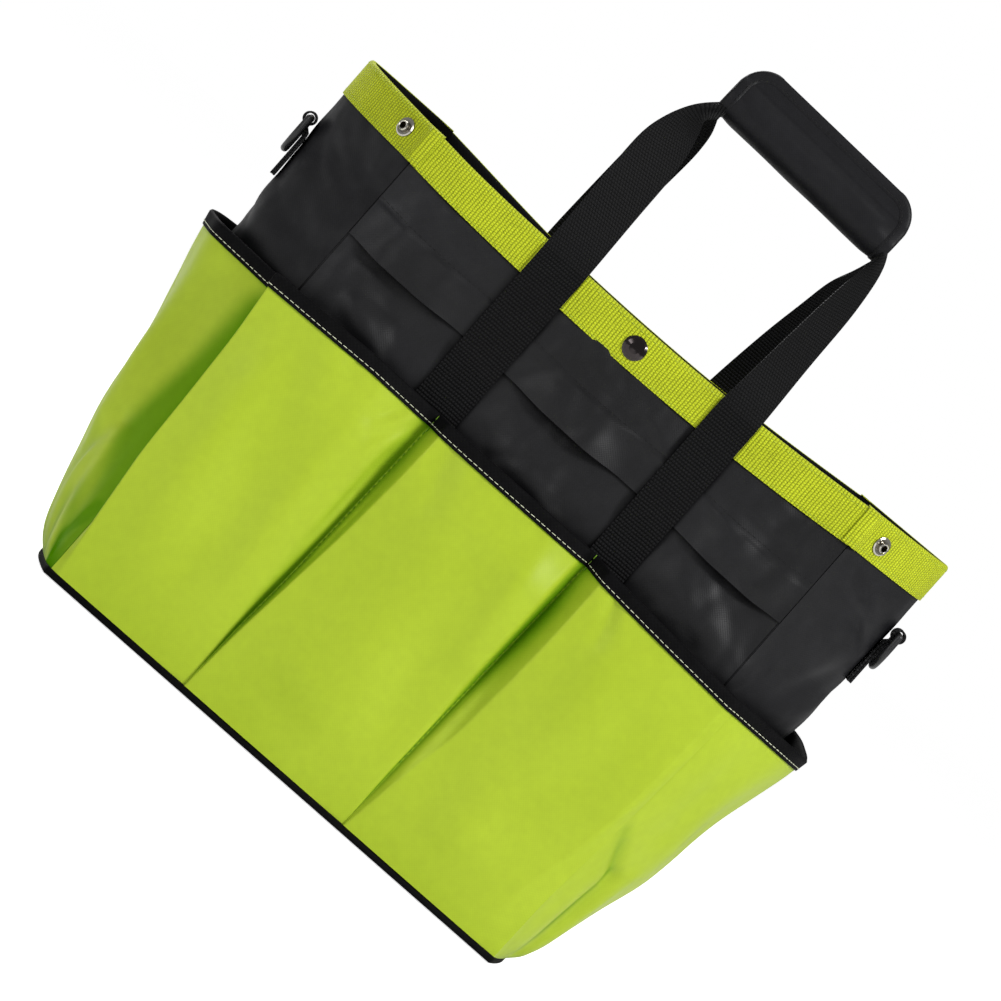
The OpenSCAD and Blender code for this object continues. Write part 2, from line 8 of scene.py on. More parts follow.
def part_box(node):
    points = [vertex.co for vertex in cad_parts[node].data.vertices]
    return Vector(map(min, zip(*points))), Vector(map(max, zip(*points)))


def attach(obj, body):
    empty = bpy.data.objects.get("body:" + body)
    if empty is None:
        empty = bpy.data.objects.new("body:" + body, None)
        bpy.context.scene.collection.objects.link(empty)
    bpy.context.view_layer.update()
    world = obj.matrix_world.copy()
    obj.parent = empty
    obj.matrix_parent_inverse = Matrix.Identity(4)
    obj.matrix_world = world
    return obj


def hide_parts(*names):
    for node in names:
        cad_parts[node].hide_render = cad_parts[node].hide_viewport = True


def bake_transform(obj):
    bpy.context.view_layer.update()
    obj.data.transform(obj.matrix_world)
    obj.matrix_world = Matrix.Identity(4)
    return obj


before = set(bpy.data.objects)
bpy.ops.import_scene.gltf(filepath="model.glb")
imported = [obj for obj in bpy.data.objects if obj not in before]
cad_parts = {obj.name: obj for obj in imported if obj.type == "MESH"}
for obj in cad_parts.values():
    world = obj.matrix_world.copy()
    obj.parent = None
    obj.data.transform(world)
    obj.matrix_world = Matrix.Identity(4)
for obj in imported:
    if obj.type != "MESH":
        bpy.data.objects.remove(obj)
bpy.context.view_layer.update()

# ---- Camera ----
# A long lens, level with the middle of the bag and a little to its left. It is rolled,
# so that the bag lies aslant in the picture with its handles to the upper right.
bpy.ops.object.select_all(action="DESELECT")
bpy.ops.object.camera_add()
camera = bpy.context.object
camera.name = "camera"
camera.data.lens = 300
aim, distance, roll = Vector((0, -0.07, 0.198)), 4.667, math.radians(41.4)
turn = Euler((math.radians(88), 0, math.radians(-1.5))).to_matrix()
turn = turn @ Matrix.Rotation(roll, 3, "Z")
camera.rotation_euler = turn.to_euler()
camera.location = aim + turn.col[2] * distance
camera.data.clip_end = 50
bpy.context.scene.camera = camera
bpy.context.scene.view_settings.view_transform = "Standard"


# ---- Studio ----
# Four softboxes and a pale surround. The floor is white card, which stays white in the
# picture and still takes the bag's soft shadow.
def linear(code):
    """An sRGB hex colour as linear values."""
    parts = [int(code[i:i + 2], 16) / 255 for i in (1, 3, 5)]
    return [c / 12.92 if c <= 0.04045 else ((c + 0.055) / 1.055) ** 2.4 for c in parts] + [1]


def add(tree, kind, inputs=None, **settings):
    """Adds a node with its settings. An input is a value, or another node's output."""
    made = tree.nodes.new("ShaderNode" + kind)
    for name, value in settings.items():
        setattr(made, name, value)
    for name, value in (inputs or {}).items():
        if isinstance(value, bpy.types.NodeSocket):
            tree.links.new(value, made.inputs[name])
        else:
            made.inputs[name].default_value = value
    return made


def calc(tree, operation, *values, **settings):
    """The output of a Math node."""
    return add(tree, "Math", dict(enumerate(values)), operation=operation,
               **settings).outputs[0]


def blank(name):
    """A new material with an empty node tree."""
    material = bpy.data.materials.new(name)
    material.use_nodes = True
    material.node_tree.nodes.clear()
    return material, material.node_tree


softboxes = (
    # name, place, target, width, power
    ("key_softbox", (1.9, -1.6, 1.8), (0, 0, 0.2), 0.6, 58),
    ("fill_softbox", (-1.5, -2.2, 1.0), (0, 0, 0.2), 1.0, 15),
    ("top_softbox", (-0.3, 0.4, 2.2), (0, 0, 0.3), 1.2, 14),
    ("back_softbox", (-1.5, 2.1, 1.5), (0, 0, 0.2), 1.0, 30),
)
for name, place, target, width, power in softboxes:
    bpy.ops.object.light_add(type="AREA", location=place)
    lamp = bpy.context.object
    lamp.name = name
    lamp.data.size = width
    lamp.data.energy = power
    lamp.rotation_euler = (Vector(place) - Vector(target)).to_track_quat("Z", "Y").to_euler()

surround = bpy.data.worlds.new("pale_surround")
bpy.context.scene.world = surround
surround.use_nodes = True
tree = surround.node_tree
tree.nodes.clear()
to_camera = add(tree, "LightPath").outputs["Is Camera Ray"]
soft = add(tree, "Background", {"Color": (1, 1, 1, 1), "Strength": 0.26})
white = add(tree, "Background", {"Color": (1, 1, 1, 1), "Strength": 1.0})
both = add(tree, "MixShader", {0: to_camera, 1: soft.outputs[0], 2: white.outputs[0]})
add(tree, "OutputWorld", {"Surface": both.outputs[0]})

bpy.ops.mesh.primitive_circle_add(vertices=96, radius=12, fill_type="NGON",
                                  location=(0, 0, -0.0006))
floor = bpy.context.object
floor.name = "white_card_floor"
bpy.ops.object.transform_apply(location=True)
# Matt white card: bright enough to the camera that it can't be told from the background.
card, tree = blank("matt white card")
lift = calc(tree, "MULTIPLY", add(tree, "LightPath").outputs["Is Camera Ray"], 0.76)
glow = add(tree, "Emission", {"Color": (1, 1, 1, 1), "Strength": lift})
matt = add(tree, "BsdfDiffuse", {"Color": (0.9, 0.9, 0.9, 1)})
both = add(tree, "AddShader", {0: glow.outputs[0], 1: matt.outputs[0]})
add(tree, "OutputMaterial", {"Surface": both.outputs[0]})
floor.data.materials.append(card)


# ---- Bottom ----
# A black cloth bottom, bound all round with a narrow black tape where the walls and the
# skirt are sewn to it. A loose board of stiff dull plastic lies on it and keeps it flat.
def smooth(t):
    """Rises from 0 to 1 as t does, level at both ends."""
    t = np.clip(t, 0, 1)
    return t * t * (3 - 2 * t)


HALF_W, RIM, FOOT = 163, 332, 4.4  # half a panel's width, the rim and the base seam's top
MOUTH_Y, EASE, BULGE = 65.5, 19.5, 85.0  # half the depth at the mouth, and more at the base


def wall_y(z):
    """Half the depth of the body at a height: the walls ease in towards the mouth."""
    up = 1 - np.clip(z / RIM, 0, 1)
    return MOUTH_Y + EASE * up * up


def wing(z):
    """How far a gusset's middle stands out past the corner seams at a height."""
    return np.sqrt(np.maximum(0, BULGE ** 2 - wall_y(z) ** 2))


def side_curve(nose_x, corner_x, corner_y, a):
    """A rounded side seen from above, from the front corner at a = -1 to the back at 1."""
    t = np.abs(a)
    x = (1 - t) ** 2 * nose_x + 2 * t * (1 - t) * nose_x + t * t * corner_x
    y = 2 * t * (1 - t) * 0.42 * corner_y + t * t * corner_y
    return x, np.sign(a) * y


ROUND = 6.283  # a full turn, in radians


def noise(seed, x, z, size, depth):
    """Gentle unevenness of hand-sewn cloth, as a few crossing waves."""
    rng = np.random.default_rng(seed)
    total = 0
    for _ in range(7):
        turn, shift, length = rng.uniform(0, ROUND), rng.uniform(0, ROUND), rng.uniform(0.7, 1.8)
        total = total + np.sin(
            (x * math.cos(turn) + z * math.sin(turn)) * ROUND / (size * length) + shift)
    return depth * total / 7 * 1.8


def crumple(seed, x, z, size, depth):
    """Creases that cross at random, as in thin cloth that has been folded up small."""
    rng = np.random.default_rng(seed)
    total = 0
    for _ in range(6):
        turn, shift, length = rng.uniform(0, ROUND), rng.uniform(0, ROUND), rng.uniform(0.6, 1.6)
        bend = 6 * np.sin((x * math.sin(turn) - z * math.cos(turn)) / size * 2 + shift * 3)
        wave = np.sin((x * math.cos(turn) + z * math.sin(turn) + bend) * 3.1416
                      / (size * length) + shift)
        total = total + np.sqrt(wave * wave + 0.004) - 0.6
    return depth * total / 3


def crease(x, z, a, b, width, depth):
    """A soft valley, or a ridge where depth is above zero, along a line from a to b."""
    a, b = np.array(a, float), np.array(b, float)
    along = b - a
    t = np.clip(((x - a[0]) * along[0] + (z - a[1]) * along[1]) / (along @ along), 0, 1)
    near = np.hypot(x - a[0] - t * along[0], z - a[1] - t * along[1])
    return depth * np.exp(-(near / width) ** 2) * np.sin(np.pi * np.clip(t, 0.12, 0.88)) ** 0.5


def creased(x, z, folds):
    """Several creases, each given as its two ends, its width and its depth."""
    return sum(crease(x, z, *fold) for fold in folds)


def outward(x, y):
    """The way out from a line that runs left to right as seen from outside."""
    dx, dy = np.gradient(x, axis=-1), np.gradient(y, axis=-1)
    size = np.hypot(dx, dy)
    return dy / size, -dx / size


def spread(*parts):
    """Points whose x, y and z are brought to one grid."""
    return np.stack(np.broadcast_arrays(*parts), -1)


def settle(points):
    """Lets the rim droop at its front left corner and stand up a little at the sides."""
    x, y, z = points[..., 0], points[..., 1], points[..., 2]
    left = np.interp(y, [-66, 0, 66], [-2.6, 1.6, 2.6]) * smooth((-x - 40) / 110)
    right = np.interp(y, [-66, 0, 66], [0.0, 1.6, 1.0]) * smooth((x - 40) / 110)
    rise = (left + right) * smooth((z - 285) / 40) * smooth((345 - z) / 9)
    return np.stack([x, y, z + rise], -1)


def lay(name, points, tuck=None):
    """Adds a flat grid and lays it on points in millimetres: rows going up, and columns
    going right as seen from outside. Its UV map is in metres of cloth. The last argument,
    if given, is the shade painted on each point, mostly from 0 to 1, and is kept as a point
    attribute for the material; below 0 it lifts the painted shade there."""
    rows, cols = points.shape[:2]
    points = settle(points)
    bpy.ops.object.select_all(action="DESELECT")
    bpy.ops.mesh.primitive_grid_add(x_subdivisions=cols - 1, y_subdivisions=rows - 1, size=2)
    piece = bpy.context.object
    piece.name = piece.data.name = name
    flat = np.empty(len(piece.data.vertices) * 3, np.float32)
    piece.data.vertices.foreach_get("co", flat)
    flat = flat.reshape(-1, 3)
    col = np.rint((flat[:, 0] + 1) / 2 * (cols - 1)).astype(int)
    row = np.rint((flat[:, 1] + 1) / 2 * (rows - 1)).astype(int)
    piece.data.vertices.foreach_set("co", (points[row, col] / 1000).astype(np.float32).ravel())
    u = np.append(0, np.cumsum(np.linalg.norm(np.diff(points, axis=1), axis=2).mean(0)))
    v = np.append(0, np.cumsum(np.linalg.norm(np.diff(points, axis=0), axis=2).mean(1)))
    spot = np.stack([u[col], v[row]], 1) / 1000
    index = np.empty(len(piece.data.loops), np.int32)
    piece.data.loops.foreach_get("vertex_index", index)
    piece.data.uv_layers.active.data.foreach_set("uv", spot[index].astype(np.float32).ravel())
    # The painted shade is kept as a point attribute, which the cloth's material reads.
    if tuck is not None:
        shade = piece.data.attributes.new("tuck", "FLOAT", "POINT")
        shade.data.foreach_set("value", tuck[row, col].astype(np.float32).ravel())
    piece.data.update()
    return piece


def select(*pieces):
    """Selects some pieces and nothing else."""
    bpy.ops.object.select_all(action="DESELECT")
    for piece in pieces:
        piece.select_set(True)
    bpy.context.view_layer.objects.active = pieces[0]


def thicken(piece, thickness, offset=-1.0, angle=40):
    """Gives a laid sheet its thickness in millimetres and shades it smooth."""
    select(piece)
    wall = piece.modifiers.new("thickness", "SOLIDIFY")
    wall.thickness = thickness / 1000
    wall.offset = offset
    bpy.ops.object.modifier_apply(modifier="thickness")
    bpy.ops.object.shade_smooth_by_angle(angle=math.radians(angle))


def join(name, pieces):
    """Makes several pieces one object."""
    select(*pieces)
    bpy.ops.object.join()
    pieces[0].name = pieces[0].data.name = name
    return pieces[0]


def paint(piece, material):
    """Gives a piece one material."""
    piece.data.materials.clear()
    piece.data.materials.append(material)


def fit(piece, material, body, slot, *nodes):
    """Gives a piece its material, fixes it to a body and lets it stand for CAD nodes."""
    paint(piece, material)
    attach(piece, body)
    if nodes:
        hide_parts(*nodes)


def turned(points):
    """The same shape on the other side of the bag, half a turn about its upright axis."""
    return points * np.array([-1, -1, 1])


def placed(side, points):
    """Points made for the front or the right, turned where the side is the back or left."""
    return points if side in ("front", "right") else turned(points)


def cloth_piece(side, name, points, thickness, material, slot, node, tuck=None, angle=40):
    """Lays a piece of cloth on a side of the bag, in the place of a CAD node."""
    piece = lay(side + name, placed(side, points), tuck)
    thicken(piece, thickness, angle=angle)
    fit(piece, material, "bag", slot, node)
    return piece


def mix(tree, share, first, second, blend="MIX"):
    """The colour that a Mix node makes of two."""
    return add(tree, "Mix", {0: share, 6: first, 7: second}, data_type="RGBA",
               blend_type=blend).outputs[2]


def ranged(tree, value, *limits):
    """A value moved from one range (low, high) to another, which is 0 to 1 if not given."""
    return add(tree, "MapRange", dict(enumerate((value,) + limits))).outputs[0]


def speckle(tree, vector, scale, detail=2.0, roughness=0.5, distortion=0.0):
    """The factor of a noise texture."""
    return add(tree, "TexNoise", {"Vector": vector, "Scale": scale, "Detail": detail,
                                  "Roughness": roughness, "Distortion": distortion}).outputs[0]


def bumped(tree, height, distance, strength, **below):
    """The normal that a Bump node makes, over another one where Normal is given."""
    return add(tree, "Bump", {"Height": height, "Distance": distance, "Strength": strength,
                              **below}).outputs[0]


def coat(tree, inputs):
    """Ends a material with one surface."""
    shader = add(tree, "BsdfPrincipled", inputs)
    add(tree, "OutputMaterial", {"Surface": shader.outputs[0]})


def woven(name, light, dark, pitch, roughness, weave, relief, sheen=0.0, tint="#FFFFFF",
          blotch=0.35, deep=None, creases=0.0011, gloss=0.12):
    """Plain-woven polyester cloth. pitch is the thread spacing in millimetres, weave is how
    much paler the raised threads are painted and how much darker the gaps between them, as
    painted light and shade of the weave, and relief is their height in millimetres. deep is
    the colour painted where folds and nearby parts close in on the cloth, as ambient
    occlusion finds them, and where the piece's painted shade attribute is high: painted
    shade, and the shine is taken out there too. creases is the height of its creases in
    metres."""
    material, tree = blank(name)
    threads = add(tree, "SeparateXYZ", {0: add(tree, "UVMap").outputs[0]})
    waves = [calc(tree, "SINE", calc(tree, "MULTIPLY", threads.outputs[axis],
                                     math.pi * 1000 / pitch)) for axis in (0, 1)]
    over = calc(tree, "MULTIPLY_ADD", calc(tree, "MULTIPLY", *waves), 0.5, 0.5)
    place = add(tree, "TexCoord").outputs["Object"]
    broad = ranged(tree, speckle(tree, place, 9.0, 3.0), 0.5 - blotch, 0.5 + blotch)
    base = mix(tree, broad, linear(dark), linear(light))
    shine = gloss
    # Painted shade: where ambient occlusion finds folds close by, and where the piece's painted
    # shade attribute says so, the colour goes to deep and the shine is taken away; a value below 0
    # lifts it.
    if deep:
        tuck = add(tree, "Attribute", attribute_name="tuck").outputs["Fac"]
        open_air = add(tree, "AmbientOcclusion", {"Distance": 0.032}, samples=8)
        close = calc(tree, "SUBTRACT", ranged(tree, open_air.outputs["AO"], 0.25, 0.85), tuck,
                     use_clamp=True)
        base = mix(tree, close, linear(deep), base)
        shine = calc(tree, "MULTIPLY", close, gloss)
    speck = ranged(tree, speckle(tree, place, 160.0, 2.0, 0.6), 0.3, 0.7, 1 - weave, 1 + weave)
    # Painted light and shade of the weave: the raised threads are paler and the gaps between them
    # darker.
    shade = ranged(tree, over, 0.0, 1.0, 1 - weave, 1 + weave)
    colour = mix(tree, 1.0, base, calc(tree, "MULTIPLY", speck, shade), "MULTIPLY")
    ripple = speckle(tree, place, 19.0, 2.0, 0.45, 0.3)
    bump = bumped(tree, ripple, creases, 0.5, Normal=bumped(tree, over, relief / 1000, 0.7))
    coat(tree, {"Base Color": colour, "Roughness": roughness, "Normal": bump,
                "Specular IOR Level": shine, "Sheen Weight": sheen, "Sheen Roughness": 0.5,
                "Sheen Tint": linear(tint)})
    return material


# Woven polyester, dyed black, with a faint shine. Where folds and nearby parts close in on
# it, its colour is painted near-black and its shine is taken out: painted shade. The real
# threads are 0.4 mm apart, and are drawn at 0.9 mm so that they show.
black_cloth = woven("plain-woven polyester, black", "#131316", "#08080A", 0.9, 0.48, 0.16, 0.05,
                    blotch=0.16, creases=0.02, gloss=0.32, deep="#010101")
# Ribbed tape for bindings: matt and a shade duller than the cloth.
binding_tape = woven("ribbed polyester binding tape, black", "#0F0F10", "#080809", 1.3, 0.7, 0.22,
                     0.12, gloss=0.06)
# Stiff sheet plastic of the loose board, with a dull face that is a little mottled.
board_plastic = woven("stiff sheet plastic, dark grey", "#5C5954", "#4C4A46", 3.0, 0.75, 0.05,
                      0.03)

columns = np.linspace(-1, 1, 61)
side_x, side_y = side_curve(174.8, 165.4, 86.9, columns)
ring_x = np.concatenate([side_x, -side_x])
ring_y = np.concatenate([side_y, -side_y])
along = np.linspace(-171.5, 171.5, 90)
reach = np.interp(np.abs(along), [0, 163.5, 168, 171.5], [84.0, 84.0, 55.0, 20.0])
rows = np.linspace(1, -1, 40)[:, None]
bottom_cloth = lay("bottom_cloth", spread(along, reach * rows, 0.1))
thicken(bottom_cloth, 1.4)
fit(bottom_cloth, black_cloth, "bag", "black_cloth", "bottom_panel")

bpy.ops.object.select_all(action="DESELECT")
bpy.ops.mesh.primitive_torus_add(major_segments=len(ring_x), minor_segments=12,
                                 major_radius=1, minor_radius=0.25)
bottom_tape = bpy.context.object
bottom_tape.name = bottom_tape.data.name = "bottom_tape"
out_x, out_y = np.roll(ring_y, -1) - np.roll(ring_y, 1), np.roll(ring_x, 1) - np.roll(ring_x, -1)
size = np.hypot(out_x, out_y)
for vertex in bottom_tape.data.vertices:
    x, y, z = vertex.co
    i = round(math.atan2(y, x) / (2 * math.pi) * len(ring_x)) % len(ring_x)
    minor = math.atan2(z, math.hypot(x, y) - 1)
    flat_out = abs(math.cos(minor)) ** 0.5 * math.copysign(1.5, math.cos(minor)) - 0.6
    up = 2.3 + abs(math.sin(minor)) ** 0.7 * math.copysign(2.2, math.sin(minor))
    vertex.co = Vector(((ring_x[i] + flat_out * out_x[i] / size[i]) / 1000,
                        (ring_y[i] + flat_out * out_y[i] / size[i]) / 1000, up / 1000))
bpy.ops.object.mode_set(mode="EDIT")
bpy.ops.mesh.select_all(action="SELECT")
bpy.ops.mesh.normals_make_consistent(inside=False)
bpy.ops.object.mode_set(mode="OBJECT")
bpy.ops.object.shade_smooth()
fit(bottom_tape, binding_tape, "bag", "black_binding", "bottom_binding")
paint(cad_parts["base_board"], board_plastic)


# ---- Body ----
# Two upright panels and two gussets of black woven cloth, sewn together at four corners
# and left soft, so that they buckle a little between the seams.
SAG, RIM_GAP = 8, 1.3  # the rim's sag, and how far the cloth ends below the tape's fold


def rim_z(x):
    """Height of the finished rim across a panel, which sags between the corners."""
    return RIM - SAG * (1 - np.clip(np.abs(x) / HALF_W, 0, 1) ** 2)


def panel_points(x, z, off):
    """Points in front of the front panel's outer face by some distance."""
    return spread(x, -(wall_y(z) + off), z)


across = np.linspace(-HALF_W, HALF_W, 110)[None, :]
up = np.linspace(0, 1, 100)[:, None]
for side, seed in (("front", 3), ("back", 5)):
    z = FOOT + up * (rim_z(across) - RIM_GAP - FOOT)
    edge = np.sin(np.pi * (across + HALF_W) / (2 * HALF_W)) * smooth((326 - z) / 30)
    points = panel_points(across, z, noise(seed, across, z, 60, 0.5) * edge - 0.5 * edge)
    cloth = cloth_piece(side, "_cloth", points, 1.5, black_cloth, "black_cloth",
                        side + "_panel")

a = np.linspace(-1, 1, 70)[None, :]
z = FOOT + up * (RIM - RIM_GAP - FOOT)
for side, seed in (("right", 7), ("left", 11)):
    x, y = side_curve(HALF_W + wing(z), 163.2, wall_y(z), a)
    hold = np.sin(np.pi * (a + 1) / 2) ** 0.7 * smooth((306 - z) / 35) * smooth((z - 4) / 40)
    puff = noise(seed, y, z, 75, 1.5) + crumple(seed, y, z, 36, 3.4) + creased(y, z, (
        ((-52, 300), (-10, 262), 9, -2.2), ((-40, 225), (25, 285), 11, -2.0),
        ((-62, 250), (-30, 236), 8, 1.6)))
    # The cloth lies flat where the ring's tab is sewn on.
    hold = hold * (1 - np.exp(-(y / 17) ** 2 - ((z - 264) / 26) ** 2))
    cloth = cloth_piece(side, "_gusset_cloth", spread(x + puff * hold, y, z), 1.5,
                        black_cloth, "black_cloth", side + "_gusset")


# ---- Slip pockets ----
# A flat pocket of thin black cloth on each panel. Its open top is tucked under the flap,
# and it hangs slack between the handle webbing that is sewn over it.
def between_legs(x):
    """One between the pieces of handle webbing, and nought under them and at the seams."""
    x = np.abs(x)
    inner = smooth((43 - x) / 30)
    outer = smooth((x - 79) / 34) * smooth((162 - x) / 24)
    return np.maximum(inner, outer)


across = np.linspace(-162, 162, 150)[None, :]
for side, seed in (("front", 21), ("back", 23)):
    z = 60 + up * 202
    free = between_legs(across) * smooth((z - 120) / 60) * smooth((251 - z) / 26)
    off = 1.0 + free * (
        2.4 + noise(seed, across, z, 46, 1.0) + crumple(seed, across, z, 32, 3.2)
        + creased(across, z, (((-150, 246), (-96, 206), 12, 2.0),
                              ((150, 246), (112, 204), 12, 2.0))))
    points = panel_points(across, z, np.maximum(off, 0.95))
    cloth = cloth_piece(side, "_pocket_cloth", points, 0.75, black_cloth, "black_cloth",
                        side + "_slip_pocket")


# ---- Flaps ----
# A strip of the same cloth hangs from the rim over each slip pocket. Its lower edge has a
# wide hem, stitched along its top, and stands off the pocket between the handles.
def stitch_row(name, path, out, sizes, look, slot, body="bag"):
    """A row of stitches along a path in millimetres. out is the way the cloth faces, at each
    point, and sizes are a stitch's length, the gap to the next and the thread's thickness."""
    length, gap, thickness = sizes
    sink = 0.1
    path = settle(path)
    step = np.linalg.norm(np.diff(path, axis=0), axis=1)
    run = np.append(0, np.cumsum(step))
    count = max(1, int(run[-1] / (length + gap)))
    middle = (np.arange(count) + 0.5) * run[-1] / count

    def at(values, s):
        return np.stack([np.interp(s, run, values[:, k]) for k in range(3)], -1)

    bpy.ops.object.select_all(action="DESELECT")
    bpy.ops.mesh.primitive_uv_sphere_add(segments=6, ring_count=6, radius=1)
    single = bpy.context.object
    form = np.array([v.co for v in single.data.vertices])
    faces = [list(p.vertices) for p in single.data.polygons]
    form = np.stack([np.sign(form[:, 2]) * np.abs(form[:, 2]) ** 0.6 * length / 2,
                     form[:, 0] * thickness / 2,
                     form[:, 1] * thickness / 2 + thickness * 0.4 * (1 - form[:, 2] ** 2)], -1)
    bpy.data.objects.remove(single)
    tangent = at(path, middle + 0.4) - at(path, middle - 0.4)
    tangent /= np.linalg.norm(tangent, axis=1)[:, None]
    normal = at(out, middle)
    normal -= (normal * tangent).sum(1)[:, None] * tangent
    normal /= np.linalg.norm(normal, axis=1)[:, None]
    side = np.cross(normal, tangent)
    spots = (at(path, middle)[:, None] + form[None, :, :1] * tangent[:, None]
             + form[None, :, 1:2] * side[:, None]
             + (form[None, :, 2:] - sink) * normal[:, None]) / 1000
    mesh = bpy.data.meshes.new(name)
    mesh.from_pydata(spots.reshape(-1, 3).tolist(), [],
                     [[v + k * len(form) for v in f] for k in range(count) for f in faces])
    mesh.update()
    piece = bpy.data.objects.new(name, mesh)
    bpy.context.scene.collection.objects.link(piece)
    select(piece)
    bpy.ops.object.shade_smooth()
    fit(piece, look, body, slot)


def side_row(side, name, line, sizes, look, slot, out=(0, -1.0, 0)):
    """A row of stitches on a side of the bag."""
    out = np.broadcast_to(out, line.shape)
    stitch_row(side + name, placed(side, line), placed(side, out), sizes, look, slot)


def thread(name, colour):
    """Twisted polyester sewing thread, with a soft shine."""
    material, tree = blank(name)
    twist = speckle(tree, add(tree, "TexCoord").outputs["Object"], 2200.0)
    shade = ranged(tree, twist, 0.0, 1.0, 0.75, 1.2)
    coat(tree, {"Base Color": mix(tree, 1.0, linear(colour), shade, "MULTIPLY"),
                "Roughness": 0.55, "Specular IOR Level": 0.4})
    return material


black_thread = thread("sewing thread, black", "#0B0B0C")
natural_thread = thread("sewing thread, natural white", "#D9DDC0")
lime_thread = thread("sewing thread, lime", "#B9CB3C")
seam_thread = thread("sewing thread, deep lime", "#6E9A1C")

across = np.linspace(-162.5, 162.5, 150)[None, :]
for side, seed in (("front", 31), ("back", 33)):
    low = np.interp(across, [-163, 0, 163], [254.5, 252, 249.5]) - 1.6 * between_legs(across)
    z = low + np.linspace(0, 1, 60)[:, None] * (rim_z(across) - 1.4 - low)
    free = between_legs(across)
    hang = smooth((300 - z) / 45)
    hem = smooth((low + 25.0 - z) / 1.2)
    off = 2.0 + 0.75 * hem + free * hang * (
        5.0 + 0.9 * np.sin(across / 27.0) * smooth((268 - z) / 20)
        + noise(seed, across, z, 52, 0.8) + crumple(seed, across, z, 40, 1.8)
        + creased(across, z, (((-150, 301), (-92, 272), 12, -1.6),
                              ((95, 303), (128, 276), 12, -2.0))))
    off = off + free * smooth((z - 281) / 8) * smooth((306 - z) / 8) * (
        0.9 + crumple(seed + 1, across, z, 30, 1.4))
    points = panel_points(across, z, np.maximum(off, 1.95 + 0.75 * hem))
    cloth = cloth_piece(side, "_flap_cloth", points, 0.8, black_cloth, "black_cloth",
                        side + "_flap")
    hem_row = 21
    line = points[hem_row] + np.array([0, -0.1, 0])
    side_row(side, "_hem_stitches", line, (3.0, 0.7, 0.26), black_thread, "black_cloth")


# ---- Rim tape ----
# Lime webbing, 25 mm wide on each face, is folded over the rim. It is woven in upright
# ribs with a flat edge. The gusset's tape laps over the panel's at each corner.
def webbing(name, light, dark, rib, slub, relief, roughness, ribs_along, gloss=0.1):
    """Thick webbing. rib and slub are the spacing of the ribs and of the bumps along them in
    millimetres; ribs_along is 0 where the ribs cross the tape's width and 1 otherwise."""
    material, tree = blank(name)
    place = add(tree, "UVMap").outputs[0]
    parts = add(tree, "SeparateXYZ", {0: place})
    wander = calc(tree, "MULTIPLY", speckle(tree, place, 90.0), 0.0011)
    rows = calc(tree, "MULTIPLY", calc(tree, "ADD", parts.outputs[ribs_along], wander),
                1000 / rib)
    stagger = calc(tree, "MULTIPLY", calc(tree, "FLOOR", rows), 0.5)
    cells = calc(tree, "MULTIPLY_ADD", parts.outputs[1 - ribs_along], 1000 / slub, stagger)
    rounds = []
    for source in (rows, cells):
        part = calc(tree, "SINE", calc(tree, "MULTIPLY", source, math.pi))
        rounds.append(calc(tree, "POWER", calc(tree, "ABSOLUTE", part), 0.6))
    bumps = calc(tree, "MULTIPLY_ADD", rounds[1], 0.6, 0.4)
    height = calc(tree, "MULTIPLY", rounds[0], bumps)
    place = add(tree, "TexCoord").outputs["Object"]
    fibres, worn = speckle(tree, place, 900.0), speckle(tree, place, 30.0, 3.0)
    shade = ranged(tree, fibres, 0.3, 0.7, 0.85, 1.15)
    broad = ranged(tree, worn, 0.3, 0.7, 0.92, 1.08)
    # Painted light and shade of the ribs: their crowns take the light colour, and the grooves
    # between them the dark one.
    colour = mix(tree, 1.0, mix(tree, height, linear(dark), linear(light)),
                 calc(tree, "MULTIPLY", shade, broad), "MULTIPLY")
    total = calc(tree, "MULTIPLY_ADD", fibres, 0.25, height)
    coat(tree, {"Base Color": colour, "Roughness": roughness,
                "Normal": bumped(tree, total, relief / 1000, 1.0),
                "Specular IOR Level": gloss, "Sheen Weight": 0.02, "Sheen Roughness": 0.5})
    return material


# Polypropylene webbing: thick ribs 2.1 mm apart, whose yarns bulge every 1.5 mm.
lime_webbing = webbing("polypropylene webbing, lime", "#C9D624", "#848F08", 2.1, 1.5, 0.5, 0.62, 0,
                       gloss=0.2)
black_webbing = webbing("polypropylene webbing, black", "#161617", "#020202", 2.1, 1.6, 0.8, 0.6,
                        1)


def tape_section(outer, inner, width):
    """Rows of a tape folded over an edge, as (distance out, distance below the edge)."""
    crown = 0.5
    return ([(outer, d) for d in np.linspace(width, 2.2, 9)]
            + [(outer - 0.25 * (outer - inner) * k, crown + 1.5 * (1 - k) ** 2)
               for k in (0.35, 1.0)]
            + [((outer + inner) / 2, crown - 0.2)]
            + [(inner + 0.25 * (outer - inner) * k, crown + 1.5 * (1 - k) ** 2)
               for k in (1.0, 0.35)]
            + [(inner, d) for d in np.linspace(2.2, width, 9)])


CREST = 12  # the row just past the fold, where the lime ends and the facing starts


def rim_tape(side, points):
    """The lime tape outside, up to the fold, and the black facing inside."""
    for name, part, look, slot, nodes in (
            ("_rim_tape", points[:CREST + 1], lime_webbing, "lime_webbing",
             ("rim_tape_" + side,)),
            ("_rim_facing", points[CREST:], binding_tape, "black_cloth", ())):
        tape = lay(side + name, placed(side, part))
        thicken(tape, 1.0, 0.0)
        fit(tape, look, "bag", slot, *nodes)


TAPE_ROW = (2.6, 0.6, 0.4), lime_thread, "lime_webbing"  # how the tape is stitched
TAPE_W, LINING = 24.4, -2.4  # the tape's width on each face, and where its inner face lies
across = np.linspace(-162.6, 162.6, 120)
for side in ("front", "back"):
    points = np.stack([np.stack([across, -(MOUTH_Y + out_by + 0 * across) - noise(
        41, across, drop, 70, 0.25) * (out_by > 0), rim_z(across) - drop], -1)
        for out_by, drop in tape_section(3.0, LINING, TAPE_W)])
    rim_tape(side, points)
    for number, drop in enumerate((22.8, 2.6)):
        line = spread(across, -69.15, rim_z(across) - drop)
        side_row(side, "_tape_stitches_%d" % number, line, *TAPE_ROW)

